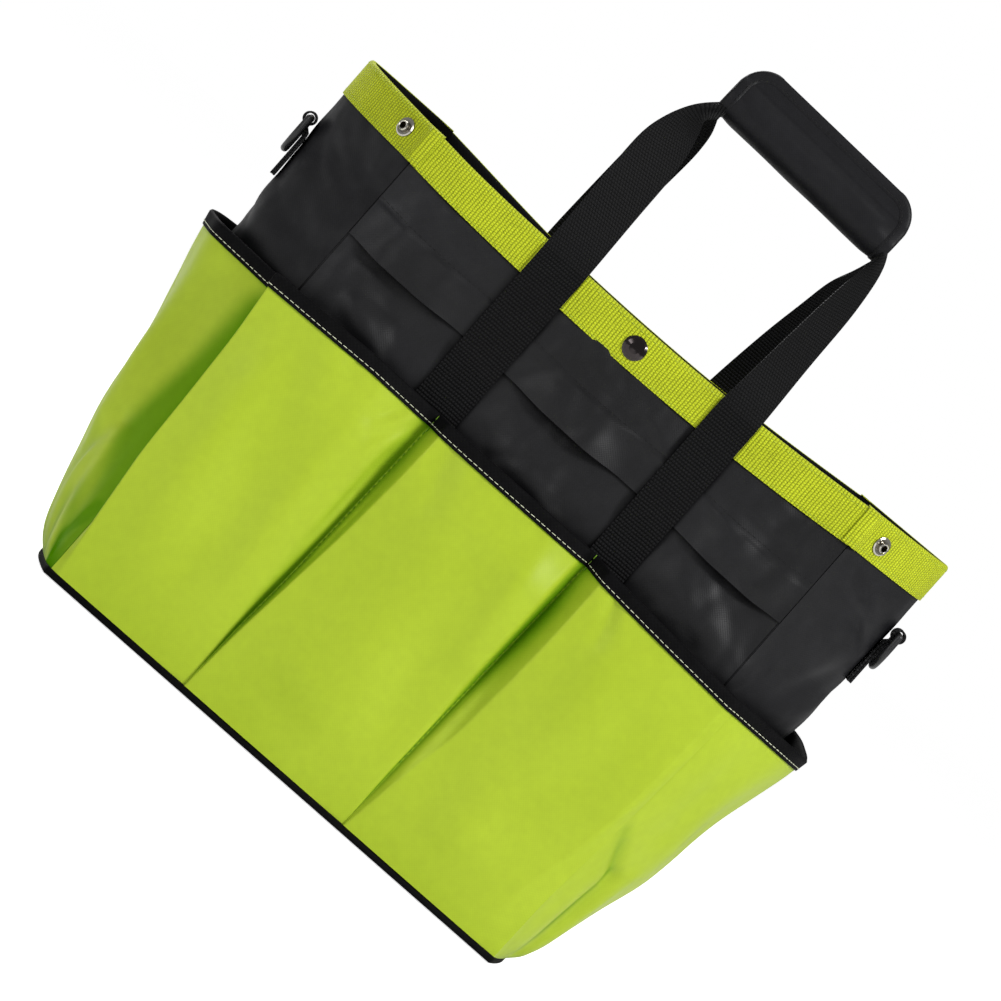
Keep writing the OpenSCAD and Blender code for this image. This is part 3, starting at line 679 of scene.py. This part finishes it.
a = np.linspace(-1, 1, 81)
for side in ("right", "left"):
    rows = []
    for out_by, drop in tape_section(0.75, LINING, TAPE_W):
        z = RIM - drop
        x, y = side_curve(HALF_W + wing(z), 163.2, wall_y(z), a * 0.955)
        out_x, out_y = outward(x, y)
        # The ends turn the corner and lap over the panels' tapes.
        lap_x, lap_y, step = (163.6, 69.6, 0.9) if out_by > -0.8 else (162.4, 62.0, 0.5)
        end_x = lap_x + np.array([-5.5, -3.0, -0.5, 1.8])
        end_y = np.array([lap_y, lap_y, lap_y, lap_y - step])
        x = np.concatenate([end_x, x + out_by * out_x, end_x[::-1]])
        y = np.concatenate([-end_y, y + out_by * out_y, end_y[::-1]])
        rows.append(np.stack([x, y, z + 0.3 + 1.4 * np.cos(np.pi / 2 * np.clip(
            y / 69, -1, 1))], -1))
    points = np.stack(rows)
    rim_tape(side, points)
    for number, row in enumerate((1, 8)):
        out = spread(*outward(points[row, :, 0], points[row, :, 1]), 0)
        side_row(side, "_tape_stitches_%d" % number, points[row] + 0.6 * out, *TAPE_ROW, out)


# ---- Skirt ----
# Lime polyester with a soft coating goes round the lower body as a skirt. Two seams on
# each face make three pockets, and a pleat beside each seam lets them stand open. The
# gussets' pockets start behind a fold at one corner and run smoothly round the other.
# Where pleats, pocket folds and nearby parts close in on the lime cloth, and along each piece's
# painted shade, its colour is painted dark green and its shine is taken out: painted shade.
lime_cloth = woven("coated polyester cloth, lime", "#B1C734", "#A4BB28", 0.9, 0.42, 0.03, 0.03,
                   deep="#4C8400", gloss=0.2)


def fold_line(corners, rounds, steps):
    """Runs a line through corners, given row by row, and rounds each corner by its own
    distance. steps is the number of spans between one corner and the next."""
    parts, start = [corners[:, :1]], corners[:, 0]
    last = corners.shape[1] - 1
    for i in range(1, last + 1):
        here = corners[:, i]
        enter = leave = here
        if i < last:
            back, ahead = corners[:, i - 1] - here, corners[:, i + 1] - here
            back_l = np.linalg.norm(back, axis=1)[:, None]
            ahead_l = np.linalg.norm(ahead, axis=1)[:, None]
            enter = here + back / back_l * np.minimum(rounds[i], 0.48 * back_l)
            leave = here + ahead / ahead_l * np.minimum(rounds[i], 0.48 * ahead_l)
        t = np.linspace(0, 1, steps[i - 1] + 1)[None, 1:, None]
        parts.append(start[:, None] + (enter - start)[:, None] * t)
        if i < last:
            t = np.linspace(0, 1, 7 if rounds[i] < 3 else 11)[None, 1:, None]
            parts.append((1 - t) ** 2 * enter[:, None] + 2 * t * (1 - t) * here[:, None]
                         + t * t * leave[:, None])
            start = leave
    return np.concatenate(parts, axis=1)


HEIGHTS = [4, 45, 87, 128, 170, 211]
SKIRT_H = 206.6  # how high the skirt stands above the base seam
# At HEIGHTS: the corner that the front and a side pocket share, and the two seams.
CORNER_X, CORNER_OFF = [165.6, 166.5, 169.5, 172.5, 175, 176.5], [1.4, 3.4, 6.6, 9.2, 10.8, 11.4]
SEAM_X = ([-64.6, -63.5, -60.8, -59.5, -58, -57], [53.2, 54, 55.4, 56.8, 58.6, 60])


def seam_out(z):
    """How far out the skirt lies where it is sewn through to the body and the webbing."""
    return 1.5 + 2.5 * np.clip(z / 55, 0, 1) + 1.0 * smooth((z - 171) / 28)


def keyed(z, values):
    """A value that changes smoothly with height, from its values at HEIGHTS."""
    fine = np.linspace(4, 211, 200)
    line = np.interp(fine, HEIGHTS, values)
    padded = np.concatenate([np.full(16, line[0]) + (line[0] - line[1]) * np.arange(16, 0, -1),
                             line, np.full(16, line[-1])
                             + (line[-1] - line[-2]) * np.arange(1, 17)])
    line = np.convolve(padded, np.hanning(33) / np.hanning(33).sum(), "same")[16:-16]
    return np.interp(z, fine, line)


def front_outline(z):
    """The skirt's front seen from above at heights z, as x and distance off the panel."""
    spots = (
        ([-163.5, -163.5, -164, -164.5, -165, -165.5], [1.3, 1.8, 2.2, 2.6, 3, 3.2], 1),
        ([-158.2, -164.3, -169.3, -171, -173.3, -178], [3.0, 9.0, 13, 15.5, 17.5, 18.5], 1.3),
        ([-112, -114, -117, -120, -122, -122], [3.6, 12.5, 17.5, 21, 23, 23.5], 30),
        ([-65.2, -66, -68.4, -69.9, -71, -66], [1.8, 7.0, 12, 16, 18, 13.0], 5.5),
        (SEAM_X[0], None, 1.5),
        ([-64.8, -62.2, -57.8, -53.6, -50.9, -49.5], [3.4, 9.5, 14.5, 17.5, 19, 19], 1.2),
        ([-8, -6, -2, 0, 2, 3], [4.2, 13, 19, 22.5, 24, 24], 34),
        ([52.9, 53.1, 53.4, 53.6, 54, 54.5], [1.8, 7.5, 12.5, 16, 18, 14], 3.5),
        (SEAM_X[1], None, 1.5),
        ([53.5, 60.2, 67.8, 70.5, 72, 72.2], [3.4, 9.5, 14.5, 17.5, 19, 19], 1.2),
        ([104, 108, 116, 119, 121, 122], [4.0, 12.4, 18, 21.5, 23, 23], 32),
        ([149.5, 151, 162, 167.5, 170, 171.5], [2.8, 8.5, 12, 14.5, 16, 16.5], 2),
        (CORNER_X, CORNER_OFF, 1),
    )
    corners = np.stack([np.stack([
        keyed(z, x), seam_out(z) if off is None else np.maximum(keyed(z, off), 1.4)], -1)
        for x, off, _ in spots], 1)
    return fold_line(corners, [s[2] for s in spots], (5, 12, 14, 6, 6, 14, 14, 6, 6, 14, 14, 4))


def skirt_top(x):
    """The skirt's top edge droops towards the right as seen from the front."""
    return np.interp(x, [-178, -100, -60, -37, 60, 72, 120, 171],
                     [211.6, 213.4, 212, 211.5, 211, 209.2, 205.8, 202.6])


def front_skirt_points(rise, out=0.0, droop=1.0):
    """Points of the front skirt at shares of its height, moved out along its own normal.
    droop is the share of the front's droop that the top edge has."""
    plan = front_outline(FOOT + rise * SKIRT_H)
    x, off = plan[..., 0], plan[..., 1]
    out_x, out_y = outward(x, off)
    x, off = x - out * out_x, off - out * out_y
    height = FOOT + rise[:, None] * (213 + droop * (skirt_top(x) - 213) - FOOT)
    face = smooth((off - 7) / 6)
    dents = noise(61, x, height, 90, 2.4) * smooth((204 - height) / 30) + creased(x, height, (
        ((-134, 176), (-104, 60), 17, -5.0), ((-94, 200), (-82, 60), 12, 3.4),
        ((-150, 150), (-132, 24), 16, 2.0), ((-72, 207), (-84, 186), 5, -2.2),
        ((-66, 196), (-78, 178), 4, -1.6), ((-130, 206), (-112, 170), 12, 2.0),
        ((-100, 60), (-74, 20), 12, 2.2), ((-20, 190), (30, 90), 20, 2.4),
        ((6, 160), (40, 34), 17, -4.6), ((36, 200), (44, 120), 10, 3.0),
        ((-44, 206), (-30, 172), 8, -1.8), ((-30, 60), (10, 20), 16, 2.0),
        ((92, 196), (128, 96), 18, 2.2), ((140, 150), (120, 60), 16, -2.6),
        ((84, 200), (92, 176), 5, -1.6), ((110, 60), (96, 16), 14, 2.0),
        # Small puckers under the binding.
        ((-116, 206), (-108, 196), 4, -1.4), ((-101, 206), (-98, 197), 4, -1.2),
        ((84, 203), (86, 194), 4, -1.4), ((98, 202), (104, 194), 4, -1.2),
        ((112, 201), (116, 192), 4, -1.0), ((-20, 206), (-16, 197), 4, -1.0)))
    off = off + dents * face
    return np.stack([x, -(wall_y(height) + off), height], -1)


def side_skirt_points(rise, nose_top, turned_top, out=0.0):
    """Points of the right side pocket. Its front end runs on from the front skirt's corner,
    and its back end starts behind the back skirt's fold."""
    z = (FOOT + rise * SKIRT_H)[:, None]
    a = np.linspace(-1, 1, 110)[None, :]
    nose = HALF_W + 11 + 44 * (z - 4) / 207 + 12 * (1 - np.exp(-(z - 4) / 9))
    front_x, front_y = keyed(z, CORNER_X), wall_y(z) + np.maximum(keyed(z, CORNER_OFF), 1.4)
    back_x = keyed(z, [163.8, 163.8, 164.3, 164.8, 165.3, 165.8])
    back_y = wall_y(z) + keyed(z, [0.9, 1.0, 1.2, 1.5, 1.8, 2.0])
    t = np.abs(a)
    corner_x = np.where(a < 0, front_x, back_x)
    corner_y = np.where(a < 0, front_y, back_y)
    pull = np.where(a < 0, 0.5, 0.44)
    x = (1 - t) ** 2 * nose + 2 * t * (1 - t) * nose + t * t * corner_x
    y = np.sign(a) * (2 * t * (1 - t) * pull * corner_y + t * t * corner_y)
    top = np.interp(a, [-1, 0, 1], [turned_top[0], nose_top, turned_top[1]])
    height = FOOT + rise[:, None] * (top - FOOT)
    hold = np.sin(np.pi * (a + 1) / 2) ** 0.6 * smooth((z - 3) / 10)
    puff = noise(71, y, height, 80, 1.8) * smooth((206 - height) / 24)
    puff = puff + 9.0 * np.exp(-((a - 0.52) / 0.17) ** 2) * smooth(z / 90)
    puff = puff + 3.0 * np.exp(-((a + 0.45) / 0.22) ** 2) * smooth(z / 90)
    puff = puff + creased(y, height, (
        ((-78, 106), (-57, 78), 5, -5.0), ((-57, 80), (-56, 14), 5, -7.0),
        ((-46, 84), (-44, 10), 7, 3.5), ((-70, 70), (-68, 14), 7, 2.5),
        ((-30, 190), (-24, 100), 12, -2.4), ((-60, 190), (-56, 120), 10, -2.4),
        ((48, 90), (19, 37), 6, -6.0), ((19, 40), (21, 6), 4, -4.0),
        ((54, 84), (62, 14), 7, 6.0), ((76, 46), (69, 20), 3.5, -6.0),
        ((69, 22), (71, 5), 3.5, -6.0), ((79, 34), (78, 8), 4, 4.0),
        ((46, 40), (48, 8), 5, -4.0), ((20, 190), (34, 90), 12, 2.4),
        ((4, 170), (12, 60), 10, -2.6)))
    out_x, out_y = outward(x, y)
    x, y = x + puff * hold * out_x, y + puff * hold * out_y
    # The pocket can't sink into the gusset behind it.
    body_x = (1 - t * t) * wing(height) + HALF_W + 2.6 * np.clip((1 - t) / 0.1, 0, 1)
    x = np.where(t < 0.97, body_x + np.logaddexp(0, (x - body_x) / 0.8) * 0.8, x)
    out_x, out_y = outward(x, y)
    return np.stack([x + out * out_x, y + out * out_y, height], -1)


rise = np.linspace(0, 1, 88) ** 1.1 * (1 - 0.8 / 206)
DROOP = {"front": 1.0, "back": 0.1}
for side, droop in DROOP.items():
    points = front_skirt_points(rise, 0.0, droop)
    # The lowest 30 mm of each front skirt gets a negative painted shade, which lifts the painted
    # shade near the base.
    cloth = cloth_piece(side, "_skirt_cloth", points, 0.9, lime_cloth, "lime_cloth",
                        "skirt_" + side, -0.6 * smooth((30 - points[..., 2]) / 24), 60)
# The height of each side pocket's top edge at its middle, and at its two ends.
SIDE_TOPS = {"right": (199.5, (202.6, 212.5)), "left": (211.3, (213.5, 209.8))}
for side, (nose_top, tops) in SIDE_TOPS.items():
    points = side_skirt_points(rise, nose_top, tops)
    a, z = np.linspace(-1, 1, 110)[None, :], points[:, :1, 2]
    # Painted shade on each side pocket: a dark band where its end lies behind a skirt's fold, and
    # dark lines along its tucks. One ridge thins the painted shade, and the lowest 30 mm lift it.
    edge = np.interp(z, [0, 45, 90, 140, 190, 211], [0.80, 0.60, 0.62, 0.72, 0.78, 0.84])
    tuck = smooth((a - edge) / 0.16) * 0.8 * smooth((212 - z) / 20)
    tuck = tuck + creased(points[..., 1], points[..., 2], (
        ((-78, 106), (-60, 80), 4, 0.4), ((-60, 82), (-58, 14), 4, 0.65),
        ((48, 90), (19, 37), 7, 0.16), ((76, 46), (69, 20), 3.5, 0.6),
        ((69, 22), (71, 5), 3.5, 0.6), ((46, 40), (48, 8), 4, 0.35),
        ((50, 84), (68, 30), 7, -0.5)))
    tuck = np.clip(tuck, 0, 0.9)
    tuck = tuck - 0.6 * smooth((30 - z) / 24) * (1 - tuck / 0.9)
    cloth = cloth_piece(side, "_side_pocket_cloth", points, 0.9, lime_cloth, "lime_cloth",
                        "skirt_" + side, tuck, 60)


# ---- Skirt binding ----
# Black ribbed tape is folded over the skirt's top edge and topstitched in natural white.
# A short upright row of stitches at each seam takes the strain of the pockets.
shares = 1 - np.array([9.0, 6.8, 4.6, 2.4, 1.0]) / SKIRT_H
sewn_share = np.array([1 - 6.9 / SKIRT_H])


def binding(shape):
    """Rows of the binding round the top edge of a skirt shape."""
    outer = shape(shares, 0.65)
    crest = (shape(np.array([1.0]), 0.35) + shape(np.array([1.0]), -1.25)) / 2
    crest_out = (outer[-1:] + crest) / 2 + np.array([0, 0, 0.4])
    inner = shape(shares[::-1], -1.55)
    crest_in = (inner[:1] + crest) / 2 + np.array([0, 0, 0.4])
    return np.concatenate([outer, crest_out, crest, crest_in, inner])


for side in ("front", "back", "right", "left"):
    def shape(share, out):
        """The skirt on this side, at shares of its height."""
        if side in DROOP:
            return front_skirt_points(share, out, DROOP[side])
        return side_skirt_points(share, *SIDE_TOPS[side], out)

    line = shape(sewn_share, 1.1)[0]
    tape = lay(side + "_skirt_binding", placed(side, binding(shape)))
    thicken(tape, 0.7, 0.0, angle=60)
    fit(tape, binding_tape, "bag", "black_binding", "binding_" + side)
    side_row(side, "_binding_stitches", line, (3.1, 0.8, 0.5), natural_thread,
             "black_binding", line - shape(sewn_share, 0.1)[0])

heights = np.linspace(50, 200, 90)
top = np.linspace(199, 211.5, 12)
for side in ("front", "back"):
    for number, (row_x, tack_x) in enumerate(zip(SEAM_X, (-57, 60.5))):
        line = np.stack([keyed(heights, row_x), -(wall_y(heights) + seam_out(heights) + 1.1),
                         heights], -1)
        side_row(side, "_seam_stitches_%d" % number, line, (2.2, 1.8, 0.4), seam_thread,
                 "lime_cloth")
        line = spread(tack_x, -(wall_y(211) + seam_out(211) + 2.2), top)
        side_row(side, "_seam_tack_%d" % number, line, (3.4, 0.2, 0.7), seam_thread,
                 "black_binding")


# ---- Handle webbing ----
# Ribbed black webbing, 32 mm wide, is sewn flat up each panel and leaves it at the rim.
# Towards the wrap it narrows and curls, as the two edges fold together inside the wrap.
def strap_points(side, keys, legs):
    """A strap from its sewn foot to the wrap. keys are rows of (left x, y, z, right x, y, z)
    for the free part, and legs is the left and right edge of the sewn part."""
    z = np.linspace(60, 322, 84)
    y = wall_y(z) + 2.8 + 2.2 * smooth((z - 226) / 22)
    left, right = spread(legs[0], -y, z), spread(legs[1], -y, z)
    keys = np.array(keys, float)
    t = np.linspace(0, 1, len(keys))
    s = np.linspace(0, 1, 70)
    free = np.stack([np.interp(s, t, keys[:, k]) for k in range(6)], -1)
    padded = np.concatenate([2 * free[:1] - free[8:0:-1], free, 2 * free[-1:] - free[-2:-10:-1]])
    window = np.hanning(17) / np.hanning(17).sum()
    free = np.stack([np.convolve(padded[:, k], window, "same")[8:-8] for k in range(6)], -1)
    free[:, [1, 4]] *= -1
    left = np.concatenate([left, free[1:, :3]])
    right = np.concatenate([right, free[1:, 3:]])
    c = np.linspace(0, 1, 15)[None, :, None]
    points = left[:, None] * (1 - c) + right[:, None] * c
    curl = np.concatenate([0 * z, smooth((s[1:] - 0.55) / 0.4)])[:, None]
    points[..., 1] -= 6.0 * np.sin(np.pi * c[..., 0]) * curl
    return points if side == "front" else (points * np.array([1, -1, 1]))[:, ::-1]


straps = {
    "front": (
        ([(-76.2, 70.6, 322, -46, 70.6, 322), (-76.3, 66, 337, -46.2, 66, 337),
          (-76.6, 48, 370, -46.8, 48, 370), (-77.3, 33, 398, -46.6, 32, 400),
          (-76, 26, 412, -48.8, 22, 416), (-70.5, 18, 427, -51.5, 12, 427),
          (-64, 12, 438, -54, 6, 433), (-56, 8.5, 446, -52.5, 4, 436),
          (-49, 6.5, 452, -48.5, 3, 439)], (-76.2, -46)),
        ([(55.2, 70.6, 322, 82, 70.6, 322), (57, 66, 337, 81.8, 64, 337),
          (60.5, 49, 370, 81.3, 42, 370), (63.6, 34, 398, 81.6, 26, 402),
          (66, 25, 416, 80.4, 17, 420), (67.8, 16, 428, 79, 10, 432),
          (69, 9, 435, 76.6, 6, 441), (69.5, 4, 440, 72, 5, 449)], (55.2, 82))),
    "back": (
        ([(-78, 70.6, 322, -48, 70.6, 322), (-78, 66, 337, -48, 66, 337),
          (-77, 48, 370, -47, 48, 370), (-76, 33, 398, -45, 32, 400),
          (-74, 26, 412, -44, 22, 416), (-70, 18, 425, -45, 12, 430),
          (-64, 12, 435, -48, 5, 438), (-52, 6.5, 449.5, -50, 3.0, 442)], (-78, -48)),
        ([(48, 70.6, 322, 77, 70.6, 322), (49.5, 66, 337, 78, 66, 337),
          (53.5, 49, 370, 80, 46, 370), (57.5, 36, 393, 80.5, 32, 398),
          (60.5, 25, 413, 78.5, 19, 418), (66.6, 16, 426, 75.6, 10, 436),
          (70, 8, 437, 73.5, 6, 445), (71.5, 3.2, 440, 71, 6.4, 450)], (48, 77))),
}
for side, pair in straps.items():
    made = []
    for number, (keys, legs) in enumerate(pair):
        made.append(lay("strap_%d" % number, strap_points(side, keys, legs)))
        thicken(made[-1], 1.5)
    webbing_pair = join(side + "_handle_webbing", made)
    paint(webbing_pair, black_webbing)
    if side == "front":
        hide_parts("front_handle_legs", "front_handle_risers")
        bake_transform(webbing_pair)
    else:
        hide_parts("back_handle_legs", "back_handle_loop")
        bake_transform(webbing_pair)

# Inside the wrap each handle's webbing lies folded in two, with its fold upwards.
inside = []
x = np.linspace(-51, 71, 60)[None, :]
low, high = 444.6, 456.4
for sign in (-1, 1):
    loop = np.array([(0.65, low), (0.65, high), (0.95, high + 0.5), (1.6, high + 0.5),
                     (1.9, high), (1.9, low)])
    y, z = loop[:, 0][:, None] * sign, loop[:, 1][:, None]
    points = spread(x, y, z - (x - 10) * 0.02)
    strip = lay("level_%d" % (sign + 1), points if sign < 0 else points[:, ::-1])
    thicken(strip, 1.15, 0.0)
    inside.append(strip)
level = join("webbing_inside_wrap", inside)
fit(level, black_webbing, "handle", "black_webbing", "front_handle_middle")


# ---- Wrap ----
# A padded sleeve of black cloth holds the two handles together. Its front half opens
# downwards and is held by hook and loop tape. The edges are bound with the same cloth.
padded_cloth = woven("plain-woven polyester over foam, black", "#18181B", "#0E0E11", 0.9, 0.5,
                     0.14, 0.05, creases=0.0026, gloss=0.2)
LENGTH, CORNER = 127.0, 18.0  # along the handles, and the radius of the free corners
MIDDLE_X, MIDDLE_Z, TILT = 10, 455, math.radians(2.4)  # the wrap's middle, and its slope


def half_section(s, start):
    """A half's outer face in (y, z), at a share s of the way from the fold to the top. start
    is where the fold lies on the round side, in degrees."""
    angle = np.radians(np.linspace(start, 158, 40))
    round_part = np.stack([12.3 * np.cos(angle), 451 + 12.3 * np.sin(angle)], -1)
    path = np.concatenate([round_part, [(-9.2, 459.6), (-6.6, 463.2), (-4.6, 465.6),
                                        (-3.9, 467.5), (-3.6, 470), (-3.4, 474), (-3.1, 479)]])
    run = np.append(0, np.cumsum(np.linalg.norm(np.diff(path, axis=0), axis=1)))
    even = np.linspace(0, run[-1], 160)
    y, z = np.interp(even, run, path[:, 0]), np.interp(even, run, path[:, 1])
    window = np.hanning(13) / np.hanning(13).sum()
    y = np.convolve(np.pad(y, 6, mode="reflect", reflect_type="odd"), window, "valid")
    z = np.convolve(np.pad(z, 6, mode="reflect", reflect_type="odd"), window, "valid")
    return np.interp(s * run[-1], even, y), np.interp(s * run[-1], even, z), run[-1]


def wrap_surface(start, a, s, out=0.0):
    """A point of a half: a along the handles, s a share of the way up its face."""
    y, z, total = half_section(s, start)
    y2, z2, _ = half_section(s + 0.004, start)
    y1, z1, _ = half_section(s - 0.004, start)
    size = np.hypot(y2 - y1, z2 - z1) + 1e-9
    ny, nz = -(z2 - z1) / size, (y2 - y1) / size
    puff = noise(91, a, s * total, 30, 0.5) * smooth(s / 0.2) * smooth((0.62 - s) / 0.15)
    puff = puff - 1.2 * smooth((np.abs(a) - LENGTH / 2 + 14) / 14) * smooth((0.7 - s) / 0.2)
    y, z = y + ny * (out + puff), z + nz * (out + puff) - MIDDLE_Z
    return np.stack([MIDDLE_X + a * math.cos(TILT) + z * math.sin(TILT), y,
                     MIDDLE_Z + z * math.cos(TILT) - a * math.sin(TILT)], -1)


def mirrored(points):
    """The same shape on the other side of the handles."""
    return points * np.array([1, -1, 1])


# The fold lies 4 mm in front of the middle, so the back half also goes round underneath.
for half, sign, start in (("front", 1, 250.5), ("back", -1, 288.0)):
    total = half_section(np.array([1.0]), start)[2]
    s = np.linspace(0, 1, 56)[:, None]
    up_mm = s * total
    cut = np.clip(up_mm - (total - CORNER), 0, CORNER)
    reach = LENGTH / 2 - (CORNER - np.sqrt(np.maximum(0, CORNER ** 2 - cut ** 2)))
    a = np.linspace(-1, 1, 90)[None, :] * reach
    # The free edge: up one end, round a corner, along the top and down the other end.
    side_x, side_up = LENGTH / 2 - CORNER, total - CORNER
    quarter = np.linspace(0, np.pi / 2, 24)
    edge_x = np.concatenate([np.full(30, -LENGTH / 2), -side_x - CORNER * np.cos(quarter),
                             np.linspace(-side_x, side_x, 60)[1:-1],
                             side_x + CORNER * np.sin(quarter), np.full(30, LENGTH / 2)])
    edge_up = np.concatenate([np.linspace(0, side_up, 31)[:-1],
                              side_up + CORNER * np.sin(quarter), np.full(58, total),
                              side_up + CORNER * np.cos(quarter),
                              np.linspace(side_up, 0, 31)[1:]])
    in_x, in_up = outward(edge_x, edge_up)
    points = wrap_surface(start, a, s)
    pad_face = lay("wrap_%s_pad" % half, points if sign > 0 else mirrored(points)[:, ::-1])
    thicken(pad_face, 3.2)
    node, body = (("wrap_front_flap", "wrap_flap") if sign > 0 else ("wrap_back_half", "handle"))
    fit(pad_face, padded_cloth, body, "padded_cloth", node)
    band = []
    for inset, out in ((6.2, 0.0), (5.8, 0.3), (4.0, 0.45), (2.0, 0.4), (0.8, 0.2), (0.0, -0.3),
                       (-0.3, -1.0), (-0.1, -1.8), (0.8, -2.4), (4.0, -2.5)):
        band.append(wrap_surface(start, edge_x + in_x * inset,
                                 np.clip((edge_up + in_up * inset) / total, 0, 1.02), out))
    band = np.stack(band)[::-1]
    edging = lay("wrap_%s_edging" % half, band[:, ::-1] if sign > 0 else mirrored(band))
    thicken(edging, 0.5, 0.0)
    fit(edging, padded_cloth, body, "padded_cloth")
    clear = edge_up > 4.0
    sewn_x, sewn_s = (edge_x + in_x * 5.0)[clear], ((edge_up + in_up * 5.0) / total)[clear]
    line = wrap_surface(start, sewn_x, sewn_s, 0.85)
    out = line - wrap_surface(start, sewn_x, sewn_s, 0.0)
    if sign < 0:
        line, out = mirrored(line), mirrored(out)
    stitch_row("wrap_%s_stitches" % half, line, out, (2.4, 0.9, 0.4), black_thread,
               "padded_cloth", body)

# Hook tape and loop tape: short stiff hooks on one, brushed fuzz on the other.
fuzzy_tape = woven("hook and loop tape, black", "#2C2C2E", "#171718", 1.1, 0.9, 0.3, 0.35,
                   sheen=0.1, tint="#A0A0A0")
for name, body in (("wrap_hook_tape", "wrap_flap"), ("wrap_loop_tape", "handle")):
    low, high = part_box(name)
    low, high = np.array(low) * 1000, np.array(high) * 1000
    x = np.linspace(low[0] + 1, high[0] - 1, 60)[None, :]
    z = np.linspace(low[2] + 1, high[2] - 1.5, 12)[:, None]
    face = low[1] if body == "wrap_flap" else high[1]
    nap = 0.25 * np.sign(low[1] + high[1]) * np.cos(x * 3) * np.cos(z * 3)
    points = spread(x, face + nap, z - (x - MIDDLE_X) * 0.042)
    tape = lay(name + "_strip", points if body == "wrap_flap" else points[:, ::-1])
    thicken(tape, 0.8)
    fit(tape, fuzzy_tape, body, "hook_and_loop", name)


# ---- Side rings ----
# A loop of narrow black webbing is sewn to each gusset. It goes round the straight bar of
# a moulded nylon ring, which swings on it.

# Moulded nylon: a satin skin that takes a soft highlight, with a very fine grain.
ring_nylon, tree = blank("moulded nylon, black, satin")
grain = speckle(tree, add(tree, "TexCoord").outputs["Object"], 700.0, 3.0)
coat(tree, {"Base Color": mix(tree, grain, linear("#121213"), linear("#232325")),
            "Roughness": 0.38, "IOR": 1.53, "Normal": bumped(tree, grain, 0.0001, 0.4)})
# The loops' webbing: narrower and finer than the handles', and a little worn to grey.
tab_webbing = webbing("narrow polypropylene webbing, black", "#2A2A2B", "#0A0A0B", 1.8, 1.4, 0.5,
                      0.66, 1)
gusset_x = HALF_W + wing(268.0)  # the gusset's face behind the tab
BAR_X, BAR_Z, AROUND = 222.385, 287, 3.6  # the ring's bar, and the webbing's way round it
for side in ("right", "left"):
    paint(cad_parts[side + "_d_ring"], ring_nylon)
    angle = np.radians(np.linspace(-80, 260, 26))
    loop = np.stack([BAR_X + AROUND * np.cos(angle), BAR_Z + AROUND * np.sin(angle)], -1)
    front = np.array([(2.4, 249.2), (2.4, 262), (2.5, 276), (3.6, 281)]) + (gusset_x, 0)
    back = np.array([(1.6, 279.5), (0.9, 275), (0.8, 262), (0.8, 249.2)]) + (gusset_x, 0)
    path = np.concatenate([front, loop, back])
    points = spread(path[:, :1], np.linspace(-10, 10, 9)[None, :], path[:, 1:])
    tab = lay(side + "_ring_loop", placed(side, points))
    thicken(tab, 1.2, 0.0)
    fit(tab, tab_webbing, "bag", "black_webbing", side + "_ring_tab")


# ---- Snaps ----
# Pressed brass with nickel plating: domed caps in the panels' middles, and studs and
# sockets on the gussets. The front cap is plated darker.
def plated(name, light, painted_shade_and_rim_glint, roughness):
    """Polished plating. Its third argument is the colour painted where ambient occlusion
    finds the plate closed in: painted shade in the nickel's hollows, and a painted bright
    rim, as a highlight, on the dark cap.
    """
    material, tree = blank(name)
    wear = speckle(tree, add(tree, "TexCoord").outputs["Object"], 420.0, 3.0)
    open_air = add(tree, "AmbientOcclusion", {"Distance": 0.005}, samples=8)
    close = ranged(tree, open_air.outputs["AO"], 0.35, 0.95)
    coat(tree, {"Base Color": mix(tree, close, linear(painted_shade_and_rim_glint), linear(light)), "Metallic": 1.0,
                "Roughness": ranged(tree, wear, 0.0, 1.0, roughness * 0.6, roughness * 1.7)})
    return material


# The nickel is painted dark brown in its hollows: painted shade. The dark cap is painted pale
# where it is closed in, which gives it a painted bright rim highlight.
nickel = plated("nickel-plated brass, polished", "#C9C5BA", "#4A4230", 0.16)
dark_plate = plated("dark-plated brass, polished", "#433E3E", "#B5B1AA", 0.1)
for node in ("front_snap_socket", "back_snap_stud", "back_snap_cap", "gusset_snap_studs",
             "gusset_stud_posts", "gusset_snap_sockets", "gusset_socket_posts"):
    paint(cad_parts[node], nickel)
paint(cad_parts["front_snap_cap"], dark_plate)
